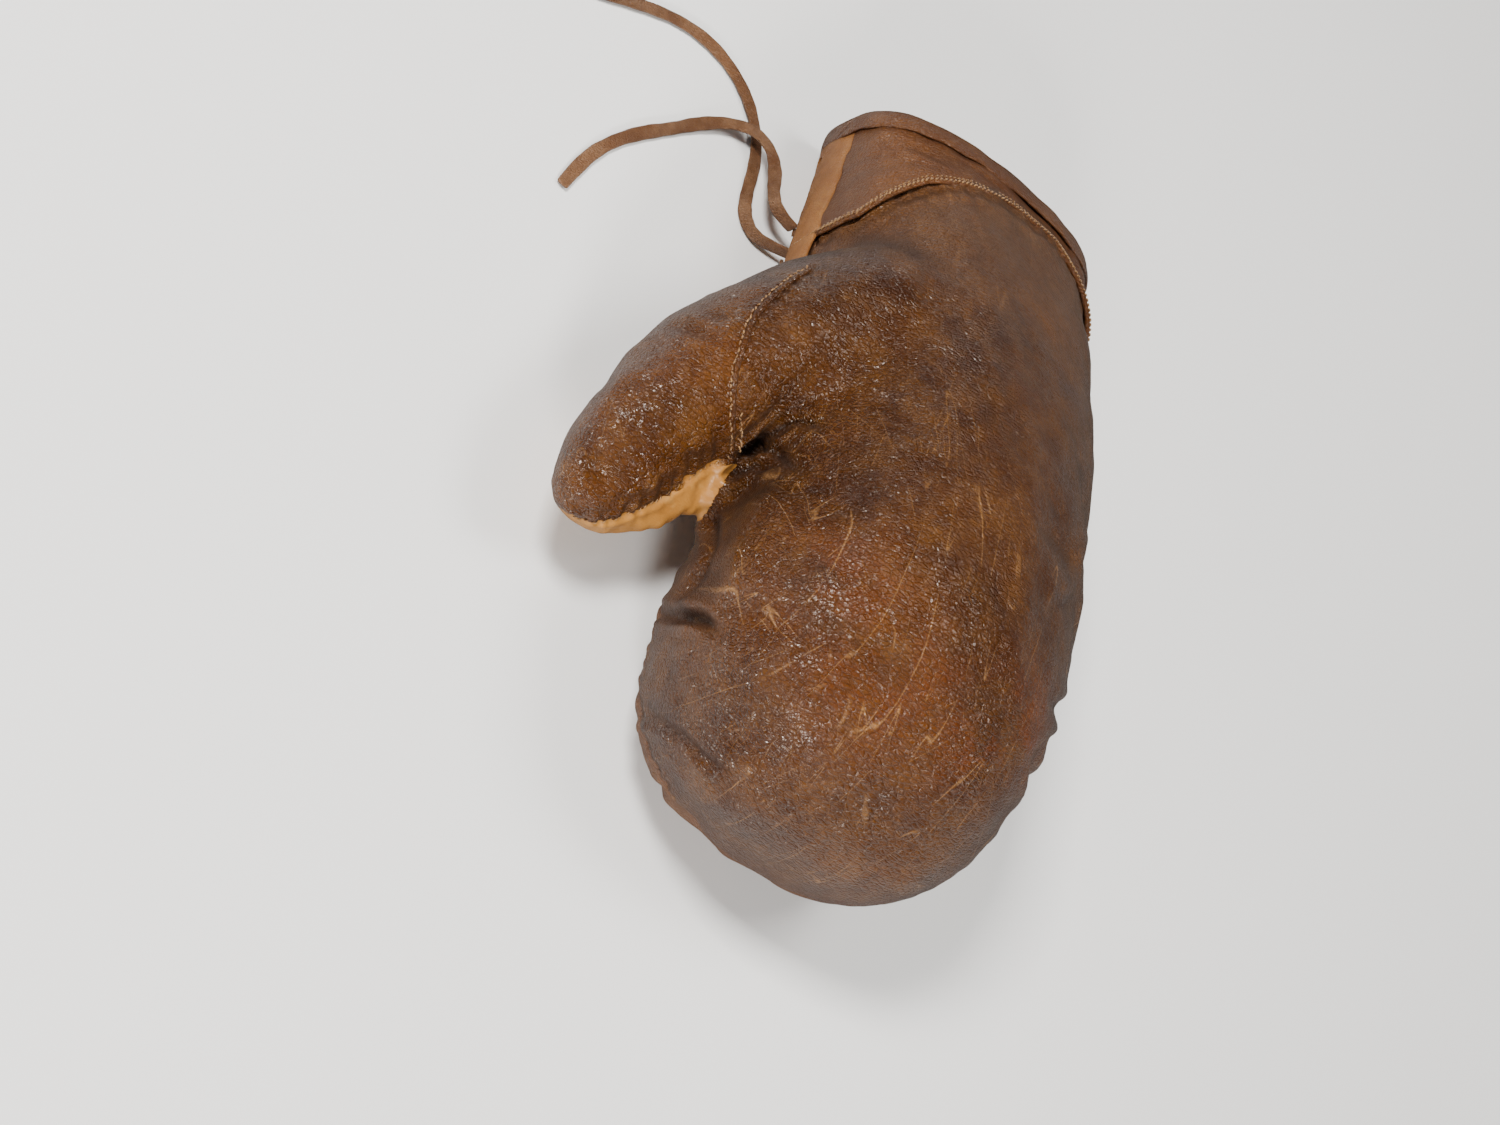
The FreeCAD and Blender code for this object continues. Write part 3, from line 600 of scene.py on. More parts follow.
# ---------------------------------------------------------------- the seams
CUFF_SEAM = [
    (104.0, -180), (104.0, -120), (113.0, -75), (126.0, -45), (134.0, -20), (132.0, 0), (126.0, 20), (117.0, 42),
    (104.0, 62), (95.0, 76), (91.0, 100), (94.0, 130), (98.0, 150), (100.0, 180),
]
SIDE_SEAM_Z = np.array([(-150.0, 30.0), (-90.0, 22.0), (-30.0, 22.0), (50.0, 26.0), (110.0, 30.0), (160.0, 30.0)])
THUMB_SEAM = [(0.24, 36), (0.33, 48), (0.41, 60), (0.46, 72), (0.52, 92), (0.56, 120), (0.565, 145), (0.57, 166)]
TAN_EDGE = [(0.57, 166), (0.64, 164), (0.72, 165), (0.80, 167), (0.88, 168), (0.94, 168), (0.985, 170)]
TAN_END_ANGLE = 300.0               # the tan panel's other side, under the thumb
SWELL = 1.2                         # the leather starts this much slimmer than its final shape
SWELL_CAP = 2.2                     # and no point of it swells further than this
VOXEL = 0.0042                      # metres
PRESSURE, SPARE_CLOTH = 4.0, 0.015  # of the stuffing, and how much larger the leather is cut
CLOTH_FRAMES, CLOTH_QUALITY = 20, 5
HELD_WITHIN = 5                     # the seams and creases hold the leather about this far, in mm
THUMB_CUT = 17.0                    # the thumb's leather starts this far past its hinge
THUMB_BLEND = (24.0, 60.0)          # and turns with the thumb between these distances from the hinge,
THUMB_TURN = np.array([-0.866, -0.5, 0.0])      # measured this way, so that it stays joined at the crotch
FIST_BLEND = (-32.0, -66.0)         # the fist's leather turns with it between these y


def cuff_seam_y(angle):
    """How far out the cuff's lower seam lies, at an angle round the glove."""
    ys, angles = np.array(CUFF_SEAM).T
    wrapped = (np.asarray(angle, float) + 180) % 360 - 180
    return np.interp(wrapped, angles, ys)


def on_body(line, out=0.0, count=60):
    """Points on the body's skin along a line of (y, angle) places."""
    y, angle = smooth_line(line, count).T
    return skin_at(y, angle, out)


def on_thumb(line, out=0.0, count=60):
    """Points on the thumb along a line of (distance along, angle) places."""
    at, angle = smooth_line(line, count).T
    return thumb_at(at, angle, out)


def joined(name, parts):
    """One object over several closed tubes, each a grid of rings."""
    vertices, faces, first = [], [], 0
    for grid in parts:
        rows, columns = grid.shape[:2]
        rings = grid_faces(rows, columns, True)
        rings += [tuple(range(columns)), tuple(reversed(range((rows - 1) * columns, rows * columns)))]
        faces += [tuple(first + i for i in face) for face in rings]
        vertices.append(grid.reshape(-1, 3))
        first += rows * columns
    return mesh_object(name, np.vstack(vertices), faces)


def edge_pairs(piece):
    """The two points of each edge."""
    pairs = np.empty(len(piece.data.edges) * 2, int)
    piece.data.edges.foreach_get("vertices", pairs)
    return pairs.reshape(-1, 2)


def relax(points, pairs, weight, rounds):
    """Moves each point towards the middle of its neighbours, by its weight."""
    count = np.bincount(pairs.ravel(), minlength=len(points))[:, None]
    for _ in range(rounds):
        total = np.zeros_like(points)
        for a, b in ((0, 1), (1, 0)):
            for axis in range(3):
                total[:, axis] += np.bincount(pairs[:, a], points[pairs[:, b], axis], len(points))
        points = points + weight[:, None] * (total / np.maximum(count, 1) - points)
    return points


def puff(piece, held):
    """Stuffs a closed skin: it swells between the places where held is near 1."""
    start = coordinates(piece)
    group = piece.vertex_groups.new(name="held")
    for step in range(11):
        chosen = np.flatnonzero(np.round(held * 10) == step).tolist()
        group.add(chosen, step / 10, "REPLACE")
    cloth = piece.modifiers.new("Cloth", "CLOTH")
    cloth.settings.vertex_group_mass = "held"
    cloth.settings.use_pressure = True
    cloth.settings.uniform_pressure_force = PRESSURE
    cloth.settings.shrink_min = -SPARE_CLOTH
    cloth.settings.quality = CLOTH_QUALITY
    cloth.settings.effector_weights.gravity = 0
    cloth.collision_settings.use_collision = False
    for step in range(1, CLOTH_FRAMES + 1):
        bpy.context.scene.frame_set(step)
    apply_modifiers(piece)
    move = coordinates(piece) - start
    length = np.linalg.norm(move, axis=1, keepdims=True)
    set_coordinates(piece, start + move * np.minimum(1, SWELL_CAP / np.maximum(length, 1e-6)))
    bpy.context.scene.frame_set(1)


def surface_tree(grid):
    """A tree over a grid of points joined in rings, in the glove's millimetres."""
    rows, columns = grid.shape[:2]
    return BVHTree.FromPolygons(grid.reshape(-1, 3).tolist(), grid_faces(rows, columns, True))


def nearest(tree, points):
    """Each point's distance to a tree's surface, and the face found."""
    found = [tree.find_nearest(p) for p in points]
    return np.array([f[3] for f in found]), np.array([f[2] for f in found])


BODY_AT, BODY_ANGLES = np.linspace(0, 1, 120), np.arange(0, 360, 3.75)
THUMB_AT, THUMB_ANGLES = np.linspace(0, 1, 80), np.arange(0, 360, 6.0)
BODY_TREE = surface_tree(skin(BODY_AT[:, None], BODY_ANGLES[None, :]))
THUMB_TREE = surface_tree(thumb_at(THUMB_AT[:, None], THUMB_ANGLES[None, :]))


def thumb_places(points):
    """Distance along the thumb and angle round it of points near it, and how far off it they are."""
    off, face = nearest(THUMB_TREE, points)
    rows = THUMB_AT[:-1] + np.diff(THUMB_AT) / 2
    columns = len(THUMB_ANGLES)
    return rows[face // columns], THUMB_ANGLES[face % columns] + 3.0, off


def body_angle(points):
    """The angle round the glove's body of points near its skin, in degrees from -180 to 180."""
    rows = through(SKIN, where_y(SKIN, points[:, 1]))
    x, z, mid = points[:, 0], points[:, 2], rows[:, 5]
    half = np.where(x < 0, rows[:, 1], rows[:, 2])
    height = np.where(z > mid, rows[:, 3] - mid, mid - rows[:, 4])
    power = np.where(z > mid, ROUND_TOP, np.where(x < 0, rows[:, 6], ROUND_LOW))
    across = np.abs(x / half) ** (power / 2)
    up = np.abs((z - mid) / height) ** (power / 2)
    angle = np.degrees(np.arctan2(across, up * np.sign(z - mid)))
    return angle * np.where(x < 0, 1, -1)


# ---------------------------------------------------------------- the leather's relief
# Creases on the body: (y, angle) places, width, depth, both in mm.
BODY_CREASES = [
    ([(-24, 122), (-34, 106), (-46, 96), (-58, 92), (-68, 96)], 3.0, 2.4),
    ([(-70, 116), (-75, 103), (-80, 92), (-85, 84), (-90, 76)], 2.0, 4.2),
    ([(-70, 100), (-66, 92), (-68, 84)], 3.4, 1.1),
    ([(-104, 128), (-110, 104), (-117, 92), (-124, 80), (-128, 60)], 2.0, 1.3),
    ([(-96, 122), (-104, 110), (-110, 98)], 3.0, 1.0),
    ([(-116, 150), (-122, 138), (-128, 128)], 2.4, 1.6),
    ([(12, -58), (4, -50), (-4, -46)], 3.4, 1.3),
    ([(-18, -44), (-28, -30), (-36, -24)], 3.2, 1.1),
    ([(-46, -78), (-50, -64), (-57, -50), (-60, -40)], 3.0, 2.2),
    ([(-58, -82), (-63, -68), (-66, -56)], 2.6, 2.4),
    ([(-72, -80), (-78, -66), (-80, -54), (-77, -44)], 3.0, 2.6),
    ([(-88, -84), (-90, -72), (-94, -62)], 2.6, 2.0),
    ([(-98, -90), (-103, -76), (-104, -66)], 2.6, 1.6),
    ([(-30, -88), (-36, -76), (-42, -66)], 3.0, 1.4),
    ([(34, -92), (26, -80), (22, -72)], 3.4, 1.0),
    ([(60, 60), (48, 52), (38, 46)], 4.0, 0.8),
    ([(84, 84), (70, 78), (60, 70)], 4.0, 0.9),
    ([(40, 140), (20, 134), (0, 138)], 3.6, 1.2),
    ([(56, -140), (30, -134), (10, -140), (-14, -136)], 3.6, 1.0),
]
# Creases that spread from the thumb's crotch: (x, y, z) places, width, depth.
CROTCH_CREASES = [
    ([(-60, -16, 30), (-62, -19, 40), (-62, -20.5, 48), (-62, -21, 55), (-61, -23, 64)], 1.8, 3.4),
    ([(-68, -22, 43), (-66, -15, 46), (-63, -9, 49), (-61, -5, 59), (-59, -4, 66), (-56, -8, 76)], 2.0, 3.5),
    ([(-62, -18, 42), (-62, -14, 50), (-61.5, -15, 59), (-61, -21, 68), (-59, -27, 76)], 2.4, 2.2),
    ([(-71, -17, 52), (-68, -8, 58), (-64, 0, 64), (-59, 6, 74)], 2.6, 1.6),
    ([(-72, -10, 60), (-70, 0, 68), (-66, 10, 76)], 2.6, 0.9),
]
# Places where the stuffing stands proud: y, angle, radius and height in mm.
BODY_LUMPS = [
    (-36, 80, 13, 4.2), (-54, 77, 15, 4.6), (-70, 74, 12, 2.6), (-100, 50, 18, 1.8), (-8, 72, 11, 2.0),
    (16, 78, 12, 1.2), (-112, 20, 16, 1.2), (-100, -30, 16, 1.0), (-66, 30, 20, -1.2),
]
# Creases on the thumb: (distance along, angle) places.
THUMB_CREASES = [
    ([(0.50, 60), (0.53, 40), (0.55, 14)], 2.6, 0.9),
    ([(0.615, 164), (0.61, 140), (0.62, 116)], 1.8, 1.5),
    ([(0.655, 164), (0.65, 146), (0.655, 130)], 1.3, 0.9),
    ([(0.695, 165), (0.685, 143), (0.70, 120)], 1.7, 1.4),
    ([(0.735, 166), (0.73, 148), (0.735, 134)], 1.3, 0.8),
    ([(0.775, 167), (0.765, 146), (0.78, 124)], 1.7, 1.3),
    ([(0.82, 167), (0.815, 150), (0.82, 136)], 1.4, 0.9),
    ([(0.865, 168), (0.855, 148), (0.87, 130)], 1.6, 1.1),
    ([(0.92, 168), (0.915, 149), (0.925, 134)], 1.3, 0.8),
    ([(0.68, 176), (0.685, 192), (0.675, 208)], 1.8, 0.9),
    ([(0.76, 176), (0.77, 190), (0.76, 204)], 2.0, 0.7),
    ([(0.85, 177), (0.86, 190), (0.85, 200)], 1.8, 0.6),
    ([(0.70, 0), (0.72, 30), (0.70, 60)], 3.4, 0.5),
]


def valley(distance, width):
    """A crease's section: a narrow valley, with the leather a little raised on both sides."""
    return -np.exp(-((distance / width) ** 2)) + 0.4 * np.exp(-(((distance - 2.1 * width) / width) ** 2))


def ripples(distance, place, length, spacing, reach):
    """Puckers across a seam: waves along it that fade away from it."""
    return np.sin(place * length / spacing * 2 * np.pi) * np.exp(-((distance / reach) ** 2))


class Relief:
    """Heights and marks gathered over a skin's points."""

    def __init__(self, points):
        self.points = points
        self.height = np.zeros(len(points))
        # fold: how much painted shade the creases and seam valleys get, from 0 to 1.
        self.fold = np.zeros(len(points))

    def near(self, line, reach):
        """The points within reach of a line, their distances to it and their places along it."""
        low, high = line.min(0) - reach, line.max(0) + reach
        chosen = np.flatnonzero(((self.points > low) & (self.points < high)).all(1))
        distance, place = distance_to(self.points[chosen], line)
        return chosen, distance, place

    def crease(self, line, width, depth, dark=1.0):
        """A fold that starts and ends gently and wavers, with painted shade down its valley."""
        chosen, distance, place = self.near(line, width * 5)
        waver = 1 + 0.25 * np.sin(place * 9 + depth * 5)
        fade = np.sin(np.clip(place, 0.02, 0.98) * np.pi) ** 0.6
        self.height[chosen] += depth * fade * waver * valley(distance, width)
        shade = dark * min(1.0, depth / 2.6) * fade * np.exp(-((distance / (0.45 * width)) ** 2))
        self.fold[chosen] = np.maximum(self.fold[chosen], shade)

    def seam(self, line, width, depth, pucker, spacing, reach, dark=0.5):
        """A sewn seam: a narrow valley all the way along with puckers on both sides, and painted shade down the
        valley.
        """
        length = np.linalg.norm(np.diff(line, axis=0), axis=1).sum()
        chosen, distance, place = self.near(line, reach * 3)
        uneven = place + 0.012 * np.sin(place * 31)
        self.height[chosen] += depth * valley(distance, width)
        self.height[chosen] += pucker * ripples(distance, uneven, length, spacing, reach)
        self.fold[chosen] = np.maximum(self.fold[chosen], dark * np.exp(-((distance / (0.5 * width)) ** 2)))


def side_seam(side, count=90):
    """The long seam between the back and the palm, on one side."""
    y = np.linspace(-128, 120, count)
    z = np.interp(y, *SIDE_SEAM_Z.T)
    row = through(SKIN, where_y(SKIN, y))
    power = row[:, 6] if side < 0 else ROUND_LOW
    angle = np.degrees(np.arccos(np.clip((row[:, 5] - z) / (row[:, 5] - row[:, 4]), 0, 1) ** (power / 2)))
    return skin_at(y, np.where(side < 0, 180 - angle, angle - 180))


def carve(piece):
    """The whole relief of the glove's leather, and its marks."""
    points, tree = coordinates(piece), tree_of(piece)
    relief = Relief(points)
    for line, width, depth in CROTCH_CREASES:
        placed = [np.array(tree.find_nearest(place)[0]) for place in smooth_line(line, 30)]
        relief.crease(np.array(placed), width, depth)
    for line, width, depth in BODY_CREASES:
        relief.crease(on_body(line, -0.5, 30), width, depth)
    for line, width, depth in THUMB_CREASES:
        relief.crease(on_thumb(line, 0, 24), width, depth, 0.7)
    relief.seam(on_thumb(THUMB_SEAM), 1.5, 0.9, 0.35, 6.5, 5.0)
    relief.seam(on_thumb(TAN_EDGE), 1.3, 0.7, 0.4, 5.0, 4.0, 0.4)
    cuff_angles = np.arange(-180, 181, 4)
    relief.seam(skin_at(cuff_seam_y(cuff_angles) - 4, cuff_angles), 2.2, 0.8, 0.3, 9.0, 8.0, 0.2)
    for side in (-1, 1):
        relief.seam(side_seam(side), 1.6, 1.0, 0.45, 8.0, 7.0, 0.6)
    y = points[:, 1]
    fist = np.clip((10 - y) / 60, 0, 1)
    lumps = rough(points, 30.0, 1) * 0.9 + rough(points, 13.0, 2) * 0.4
    wrinkles = rough(points * [0.22, 1, 1], 3.4, 3) * 0.16 + rough(points * [0.3, 1, 1], 1.9, 4) * 0.07
    pulls = rough(points * [1, 0.3, 1], 7.0, 5) * 0.3
    relief.height += lumps + wrinkles * (0.35 + 0.65 * fist) + pulls * (1 - 0.6 * fist)
    for y_at, angle_at, radius, height in BODY_LUMPS:
        away = np.linalg.norm(points - skin_at(y_at, angle_at), axis=1)
        relief.height += height * np.exp(-((away / radius) ** 2))
    return relief


# ---------------------------------------------------------------- the leather
# Soft patches of red leather and of leather rubbed shiny: their (y, angle) places and radius.
RED_SPOTS = ([(-70, 40), (-84, 14), (-88, -16), (-76, -30), (-98, 20)], 21.0)
SHINY_SPOTS = ([(-42, 74), (-62, 74), (-112, 24), (-116, 48), (2, 74), (-100, 62)], 17.0)


def spots(points, places, radius):
    """Soft round patches round (y, angle) places, from 0 to 1."""
    y, angle = np.array(places, float).T
    centres = skin_at(y, angle)
    away = np.linalg.norm(points[:, None, :] - centres[None], axis=2)
    return np.exp(-((away / radius) ** 2)).max(1)


def past_hinge(points):
    """How far past the thumb's hinge points lie, along its heading."""
    return (points - THUMB_PIVOT) @ HEADING


def tan_side(at, angle):
    """How far inside the tan panel's outline places on the thumb lie, in mm, negative outside it."""
    edge_at, edge_angle = np.array(TAN_EDGE, float).T
    size = through(THUMB, at)[:, 3] * np.pi / 180
    from_back = (angle - np.interp(at, edge_at, edge_angle)) * size
    from_front = (TAN_END_ANGLE - angle) * size
    from_root = (at - edge_at[0]) * THUMB_LENGTH
    return np.minimum(np.minimum(from_back, from_front), from_root)


WEB_LOW, WEB_HIGH = 26.3, 51.7
WEB_MIDDLE, WEB_HALF, WEB_RADIUS = 39, 13, 6.8


def crotch_web():
    """Rings of the small web of leather between the thumb and the fist, a leaning spindle."""
    z = np.linspace(WEB_LOW, WEB_HIGH, 14)
    x, y = np.interp(z, [32, 46], [-61.5, -65.5]), np.interp(z, [32, 46], [-17.0, -19.0])
    radius = WEB_RADIUS * np.sqrt(np.clip(1 - ((z - WEB_MIDDLE) / WEB_HALF) ** 2, 0.01, 1))
    angle = np.linspace(0, 2 * np.pi, 16, endpoint=False)
    around_x, around_y = np.outer(radius, np.cos(angle)), np.outer(radius, np.sin(angle))
    return np.stack([x[:, None] + around_x, y[:, None] + around_y, z[:, None] + 0 * around_x], -1)


def leather_skin():
    """The leather's outer face over the hand, fist and thumb: stuffed, creased and marked."""
    piece = joined("leather", [
        skin(BODY_AT[:, None], BODY_ANGLES[None, :], -SWELL),
        thumb_at(THUMB_AT[:, None], THUMB_ANGLES[None, :], -SWELL),
        crotch_web(),
    ])
    outward(piece)
    modify(piece, "REMESH", mode="VOXEL", voxel_size=VOXEL)
    points, pairs = coordinates(piece), edge_pairs(piece)
    joint = np.maximum(nearest(BODY_TREE, points)[0], nearest(THUMB_TREE, points)[0])
    points = relax(points, pairs, 0.7 * np.exp(-((joint / 7) ** 2)), 12)
    set_coordinates(piece, points)
    lines = [on_body(line, 0, 24) for line, _, _ in BODY_CREASES[:8]] + [side_seam(-1), side_seam(1)]
    lines += [on_thumb(THUMB_SEAM), on_thumb(TAN_EDGE)]
    away = np.min([distance_to(points, line)[0] for line in lines], axis=0)
    puff(piece, np.exp(-((away / HELD_WITHIN) ** 2)))
    modify(piece, "SUBSURF", levels=2)
    points = coordinates(piece)
    at, angle, off = thumb_places(points)
    hand_off = nearest(BODY_TREE, points)[0]
    on_thumb_skin = (off < hand_off) & (past_hinge(points) > THUMB_CUT)
    relief = carve(piece)
    points = points + normals(piece) * relief.height[:, None]
    points[:, 2] = np.maximum(points[:, 2], FLOOR_GAP)
    set_coordinates(piece, points)
    # The painted shade of the creases and seam valleys, for the materials.
    mark(piece, "fold", relief.fold)
    mark(piece, "thumb", on_thumb_skin.astype(float))
    mark(piece, "tan", 0.5 + np.where(on_thumb_skin, tan_side(at, angle), -9) / 18)
    x, y = points[:, 0], points[:, 1]
    little_side = np.clip((x - 26) / 40, 0, 1) * np.clip((y + 60) / 60, 0, 1)
    mark(piece, "wear", 0.75 * little_side + 0.35 * np.clip((y - 70) / 40, 0, 1))
    mark(piece, "red", spots(points, *RED_SPOTS))
    seam_at, seam_angle = np.array(THUMB_SEAM + [(0.57, 260), (0.24, 330)]).T
    beyond = (at - np.interp(angle, seam_angle, seam_at)) * THUMB_LENGTH
    outer = np.where(off < hand_off, np.clip(0.5 + beyond / 3, 0, 1), 0)
    mark(piece, "ruddy", outer)
    mark(piece, "polish", np.maximum(spots(points, *SHINY_SPOTS), 0.7 * outer))
    mark(piece, "scratch", np.clip((50 - y) / 60, 0.25, 1) * (1 - 0.7 * outer))
    attribute = piece.data.attributes.new("smooth", "FLOAT_VECTOR", "POINT")
    attribute.data.foreach_set("vector", normals(piece).astype(np.float32).ravel())
    return piece


def part_of(whole, name, wanted):
    """The faces of a skin for which wanted (middles and face marks) says yes, shaded as one with the rest."""
    piece = linked(name, whole.data.copy())
    with editing(piece) as edit:
        layers = [edit.verts.layers.float[key] for key in ("thumb", "tan")]
        marks = [np.array([max(v[layer] for v in face.verts) for face in edit.faces]) for layer in layers]
        drop_faces(edit, wanted(face_middles(edit), *marks))
    vectors = np.empty(len(piece.data.vertices) * 3, np.float32)
    piece.data.attributes["smooth"].data.foreach_get("vector", vectors)
    piece.data.attributes.remove(piece.data.attributes["smooth"])
    piece.data.shade_smooth()
    piece.data.normals_split_custom_set_from_vertices(vectors.reshape(-1, 3).tolist())
    return piece


def in_slit(points):
    """True for points in the cut-out of the leather behind the slit, which is a little wider than it."""
    return (np.abs(points[:, 0] - SLIT_X) < 6.4) & (points[:, 1] > SLIT_END_Y) & (points[:, 2] < 26)


def beside_holes(points, reach):
    """True for points within reach of the axis of any lace hole."""
    found = np.zeros(len(points), bool)
    for y in HOLES_Y:
        side = (np.hypot(points[:, 1] - y, points[:, 2] - HOLE_Z) < reach) & (points[:, 0] < SLIT[0])
        low = (np.hypot(points[:, 1] - y, points[:, 0] - HOLE_X) < reach) & (points[:, 2] < 20)
        found |= side | low
    return found


def under_cuff(points, lap):
    """True for points that the cuff band covers by more than lap."""
    return points[:, 1] > cuff_seam_y(body_angle(points)) + lap


def seam_height(points):
    """How far above the long side seam points lie."""
    return points[:, 2] - np.interp(points[:, 1], *SIDE_SEAM_Z.T)


def blend_fist(piece):
    """Bends a piece from the hand to the fist."""
    start, end = (point(0, y, FLEX_Z) for y in FIST_BLEND)
    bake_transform(piece, "hand", "fist", start, end)


def blend_thumb(piece):
    """Bends a piece from the hand to the thumb."""
    start, end = (tuple(metres(THUMB_PIVOT + THUMB_TURN * reach)) for reach in THUMB_BLEND)
    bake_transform(piece, "hand", "thumb", start, end)


def leather_pieces():
    """The four panels that the leather is cut into."""
    whole = leather_skin()

    def is_body(middles, thumb):
        return (thumb < 0.5) & ~in_slit(middles) & ~under_cuff(middles, 5.0) & ~beside_holes(middles, 3.0)

    made = []
    # Name, material, slot, which body it bends to, the CAD nodes it stands for, and which faces it takes.
    for name, material, slot, blend, nodes, wanted in (
        ("back_leather", BROWN, "leather_brown", blend_fist, (
            "back_panel", "knuckle_panel", "back_pad", "knuckle_pad", "wrist_pad", "thumb_root_panel",
            "thumb_root_pad",
        ), lambda m, thumb, tan: is_body(m, thumb) & (seam_height(m) > 0)),
        ("palm_leather", PALM_BROWN, "leather_palm", blend_fist, (
            "palm_panel", "finger_panel", "palm_pad", "finger_pad",
        ), lambda m, thumb, tan: is_body(m, thumb) & (seam_height(m) <= 0)),
        ("thumb_leather", BROWN, "leather_brown", blend_thumb, (
            "thumb_outer_panel", "thumb_back_pad",
        ), lambda m, thumb, tan: (thumb >= 0.5) & (tan < 0.5)),
        ("thumb_tan_leather", BROWN, "leather_tan", blend_thumb, (
            "thumb_inner_panel", "thumb_front_pad",
        ), lambda m, thumb, tan: (thumb >= 0.5) & (tan >= 0.5)),
    ):
        piece = part_of(whole, name, wanted)
        paint(piece, material)
        blend(piece)
        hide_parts(*nodes)
        made.append(piece)
    bpy.data.objects.remove(whole)
    return made


# ---------------------------------------------------------------- the view
TARGET = Vector(point(0, 0, 55))
# Name, place from the target in metres, watts and size in metres.
LIGHTS = (
    ("key", (-0.85, 0.05, 1.05), 29.0, 0.3), ("front", (-0.15, -1.3, 0.62), 21.0, 0.3),
    ("top", (0.45, 0.3, 1.4), 14.0, 0.6),
)
LIGHT_COLOUR, WORLD_STRENGTH = (1.0, 0.94, 0.86), 0.15
LENS, SENSOR, SHIFT = 76.5, 36.0, (-0.103, -0.034)
CAMERA_DISTANCE = 1.1
CAMERA_AXES = (                         # right, up and back towards the camera
    Vector((0.69951, 0.25320, 0.66826)), Vector((-0.51375, 0.82818, 0.22398)),
    Vector((-0.49673, -0.5, 0.70941)),
)


def set_stage():
    """A plain pale floor, soft studio light and the camera."""
    floor_material, w = shader("floor", (0.90, 0.92, 0.95), 0.7)
    w.give("Base Color", w.mix(w.span(w.noise(3.0), 0.3, 0.7), (0.87, 0.90, 0.94), (0.90, 0.93, 0.97)))
    floor = linked("floor", bpy.data.meshes.new("floor"))
    with editing(floor) as edit:
        bmesh.ops.create_grid(edit, x_segments=8, y_segments=8, size=3.0)
    floor.data.materials.append(floor_material)
    world = bpy.data.worlds.new("studio")
    bpy.context.scene.world = world
    world.use_nodes = True
    background = world.node_tree.nodes["Background"].inputs
    background["Color"].default_value = (1, 1, 1, 1)
    background["Strength"].default_value = WORLD_STRENGTH
    for name, place, energy, size in LIGHTS:
        data = bpy.data.lights.new(name, "AREA")
        data.energy, data.size, data.color = energy, size, LIGHT_COLOUR
        light = linked(name, data)
        light.location = TARGET + Vector(place)
        light.rotation_euler = (TARGET - light.location).to_track_quat("-Z", "Y").to_euler()
    data = bpy.data.cameras.new("camera")
    data.lens, data.sensor_width = LENS, SENSOR
    data.shift_x, data.shift_y = SHIFT
    camera = linked("camera", data)
    turn = Matrix(CAMERA_AXES).transposed().to_4x4()
    camera.matrix_world = Matrix.Translation(TARGET + CAMERA_AXES[2].normalized() * CAMERA_DISTANCE) @ turn
    bpy.context.scene.camera = camera


# ---------------------------------------------------------------- the cuff
# Each cuff corner's fold: its ends on the slit and at the rim, and the way into the glove.
FOLDS = {
    "thumb": ((-38, 107, -2), (-66, 150, 20), (1, 0, 1)),
    "little": ((-32, 107, 1.5), (18, 150, -0.6), (0, 0, 1)),
}
FOLD_GAP = 0.15
FOLD_BEND = 8.0                     # a corner's leather bends within this distance of its fold
BARE = 3.4                          # the wall's thickness where it has no padding, beside the slit
RIM_INSET = 0.8                     # the rim's strip lies this far inside the wall's inner face
STRIP_THICK = 0.0009                # metres
FACING_RISE = 11.0                  # the thumb side's facing climbs this much higher than its CAD node
BODY_OF = {"hand": "hand", "thumb": "corner_thumb", "little": "corner_little"}


def corner_angle(y, x):
    """The angle at which the bottom's skin reaches a given x on the thumb side."""
    row = through(SKIN, where_y(SKIN, y))
    return 180 - np.degrees(np.arcsin(np.clip(np.abs(x) / row[..., 1], 0, 1) ** (row[..., 6] / 2)))


def wall_angle(y, z):
    """The angle at which the thumb side's wall is at a given height."""
    row = through(SKIN, where_y(SKIN, y))
    part = np.clip((row[..., 5] - z) / (row[..., 5] - row[..., 4]), 0, 1)
    return 180 - np.degrees(np.arccos(part ** (row[..., 6] / 2)))


def cuff_angle(y, part):
    """The angle a part of the way round the cuff, from the slit's thumb side over the back."""
    start, end = corner_angle(y, SLIT[0]), corner_angle(y, SLIT[1]) - 360
    return start + (end - start) * part


def unpadded(points):
    """1 beside the slit, where the wall is bare leather, fading to 0 where it is padded."""
    x, y, z = np.moveaxis(points, -1, 0)
    return np.clip((y - 56) / 8, 0, 1) * np.clip((-8 - x) / 6, 0, 1) * np.clip((30 - z) / 8, 0, 1)


def inner_wall(y, angle, inset=0.0):
    """Points on the wall's inner face, moved into the pocket by inset."""
    outer = skin_at(y, angle)
    bare, lined = skin_at(y, angle, -BARE - inset), skin_at(y, angle, -inset, POCKET)
    part = unpadded(outer)[..., None]
    return lined + (bare - lined) * part


def cuff_slack(y, angle, low):
    """How far the cuff band stands proud of the skin, with its soft wrinkles."""
    rise = np.clip((y - low) / (RIM_Y - low), 0, 1)
    free = np.clip((100 - (angle % 360)) / 30, 0, 1) + np.clip(((angle % 360) - 200) / 20, 0, 1)
    free = np.clip(free, 0, 1)
    flat = skin_at(y, angle).reshape(-1, 3)
    folds = rough(flat * [0.5, 1.3, 1], 8.0, 21) * 0.9 + rough(flat, 19.0, 22) * 0.9
    folds = folds + rough(flat * [0.4, 1.6, 1], 4.5, 23) * 0.35
    window = np.sin(np.clip(rise, 0, 1) * np.pi) ** 0.7
    return CUFF_LAP + free * window * (0.5 + folds.reshape(y.shape))


def fold_plane(name):
    """A corner's fold: a point on it, the normal towards its loose side, and the way into the glove."""
    start, end, inward = (np.array(v, float) for v in FOLDS[name])
    along = (end - start) / np.linalg.norm(end - start)
    inward = inward - along * (inward @ along)
    inward /= np.linalg.norm(inward)
    normal = np.cross(along, inward)
    normal *= np.sign(normal @ (np.array([SLIT_X, RIM_Y, 0]) - start))
    return start, normal, inward


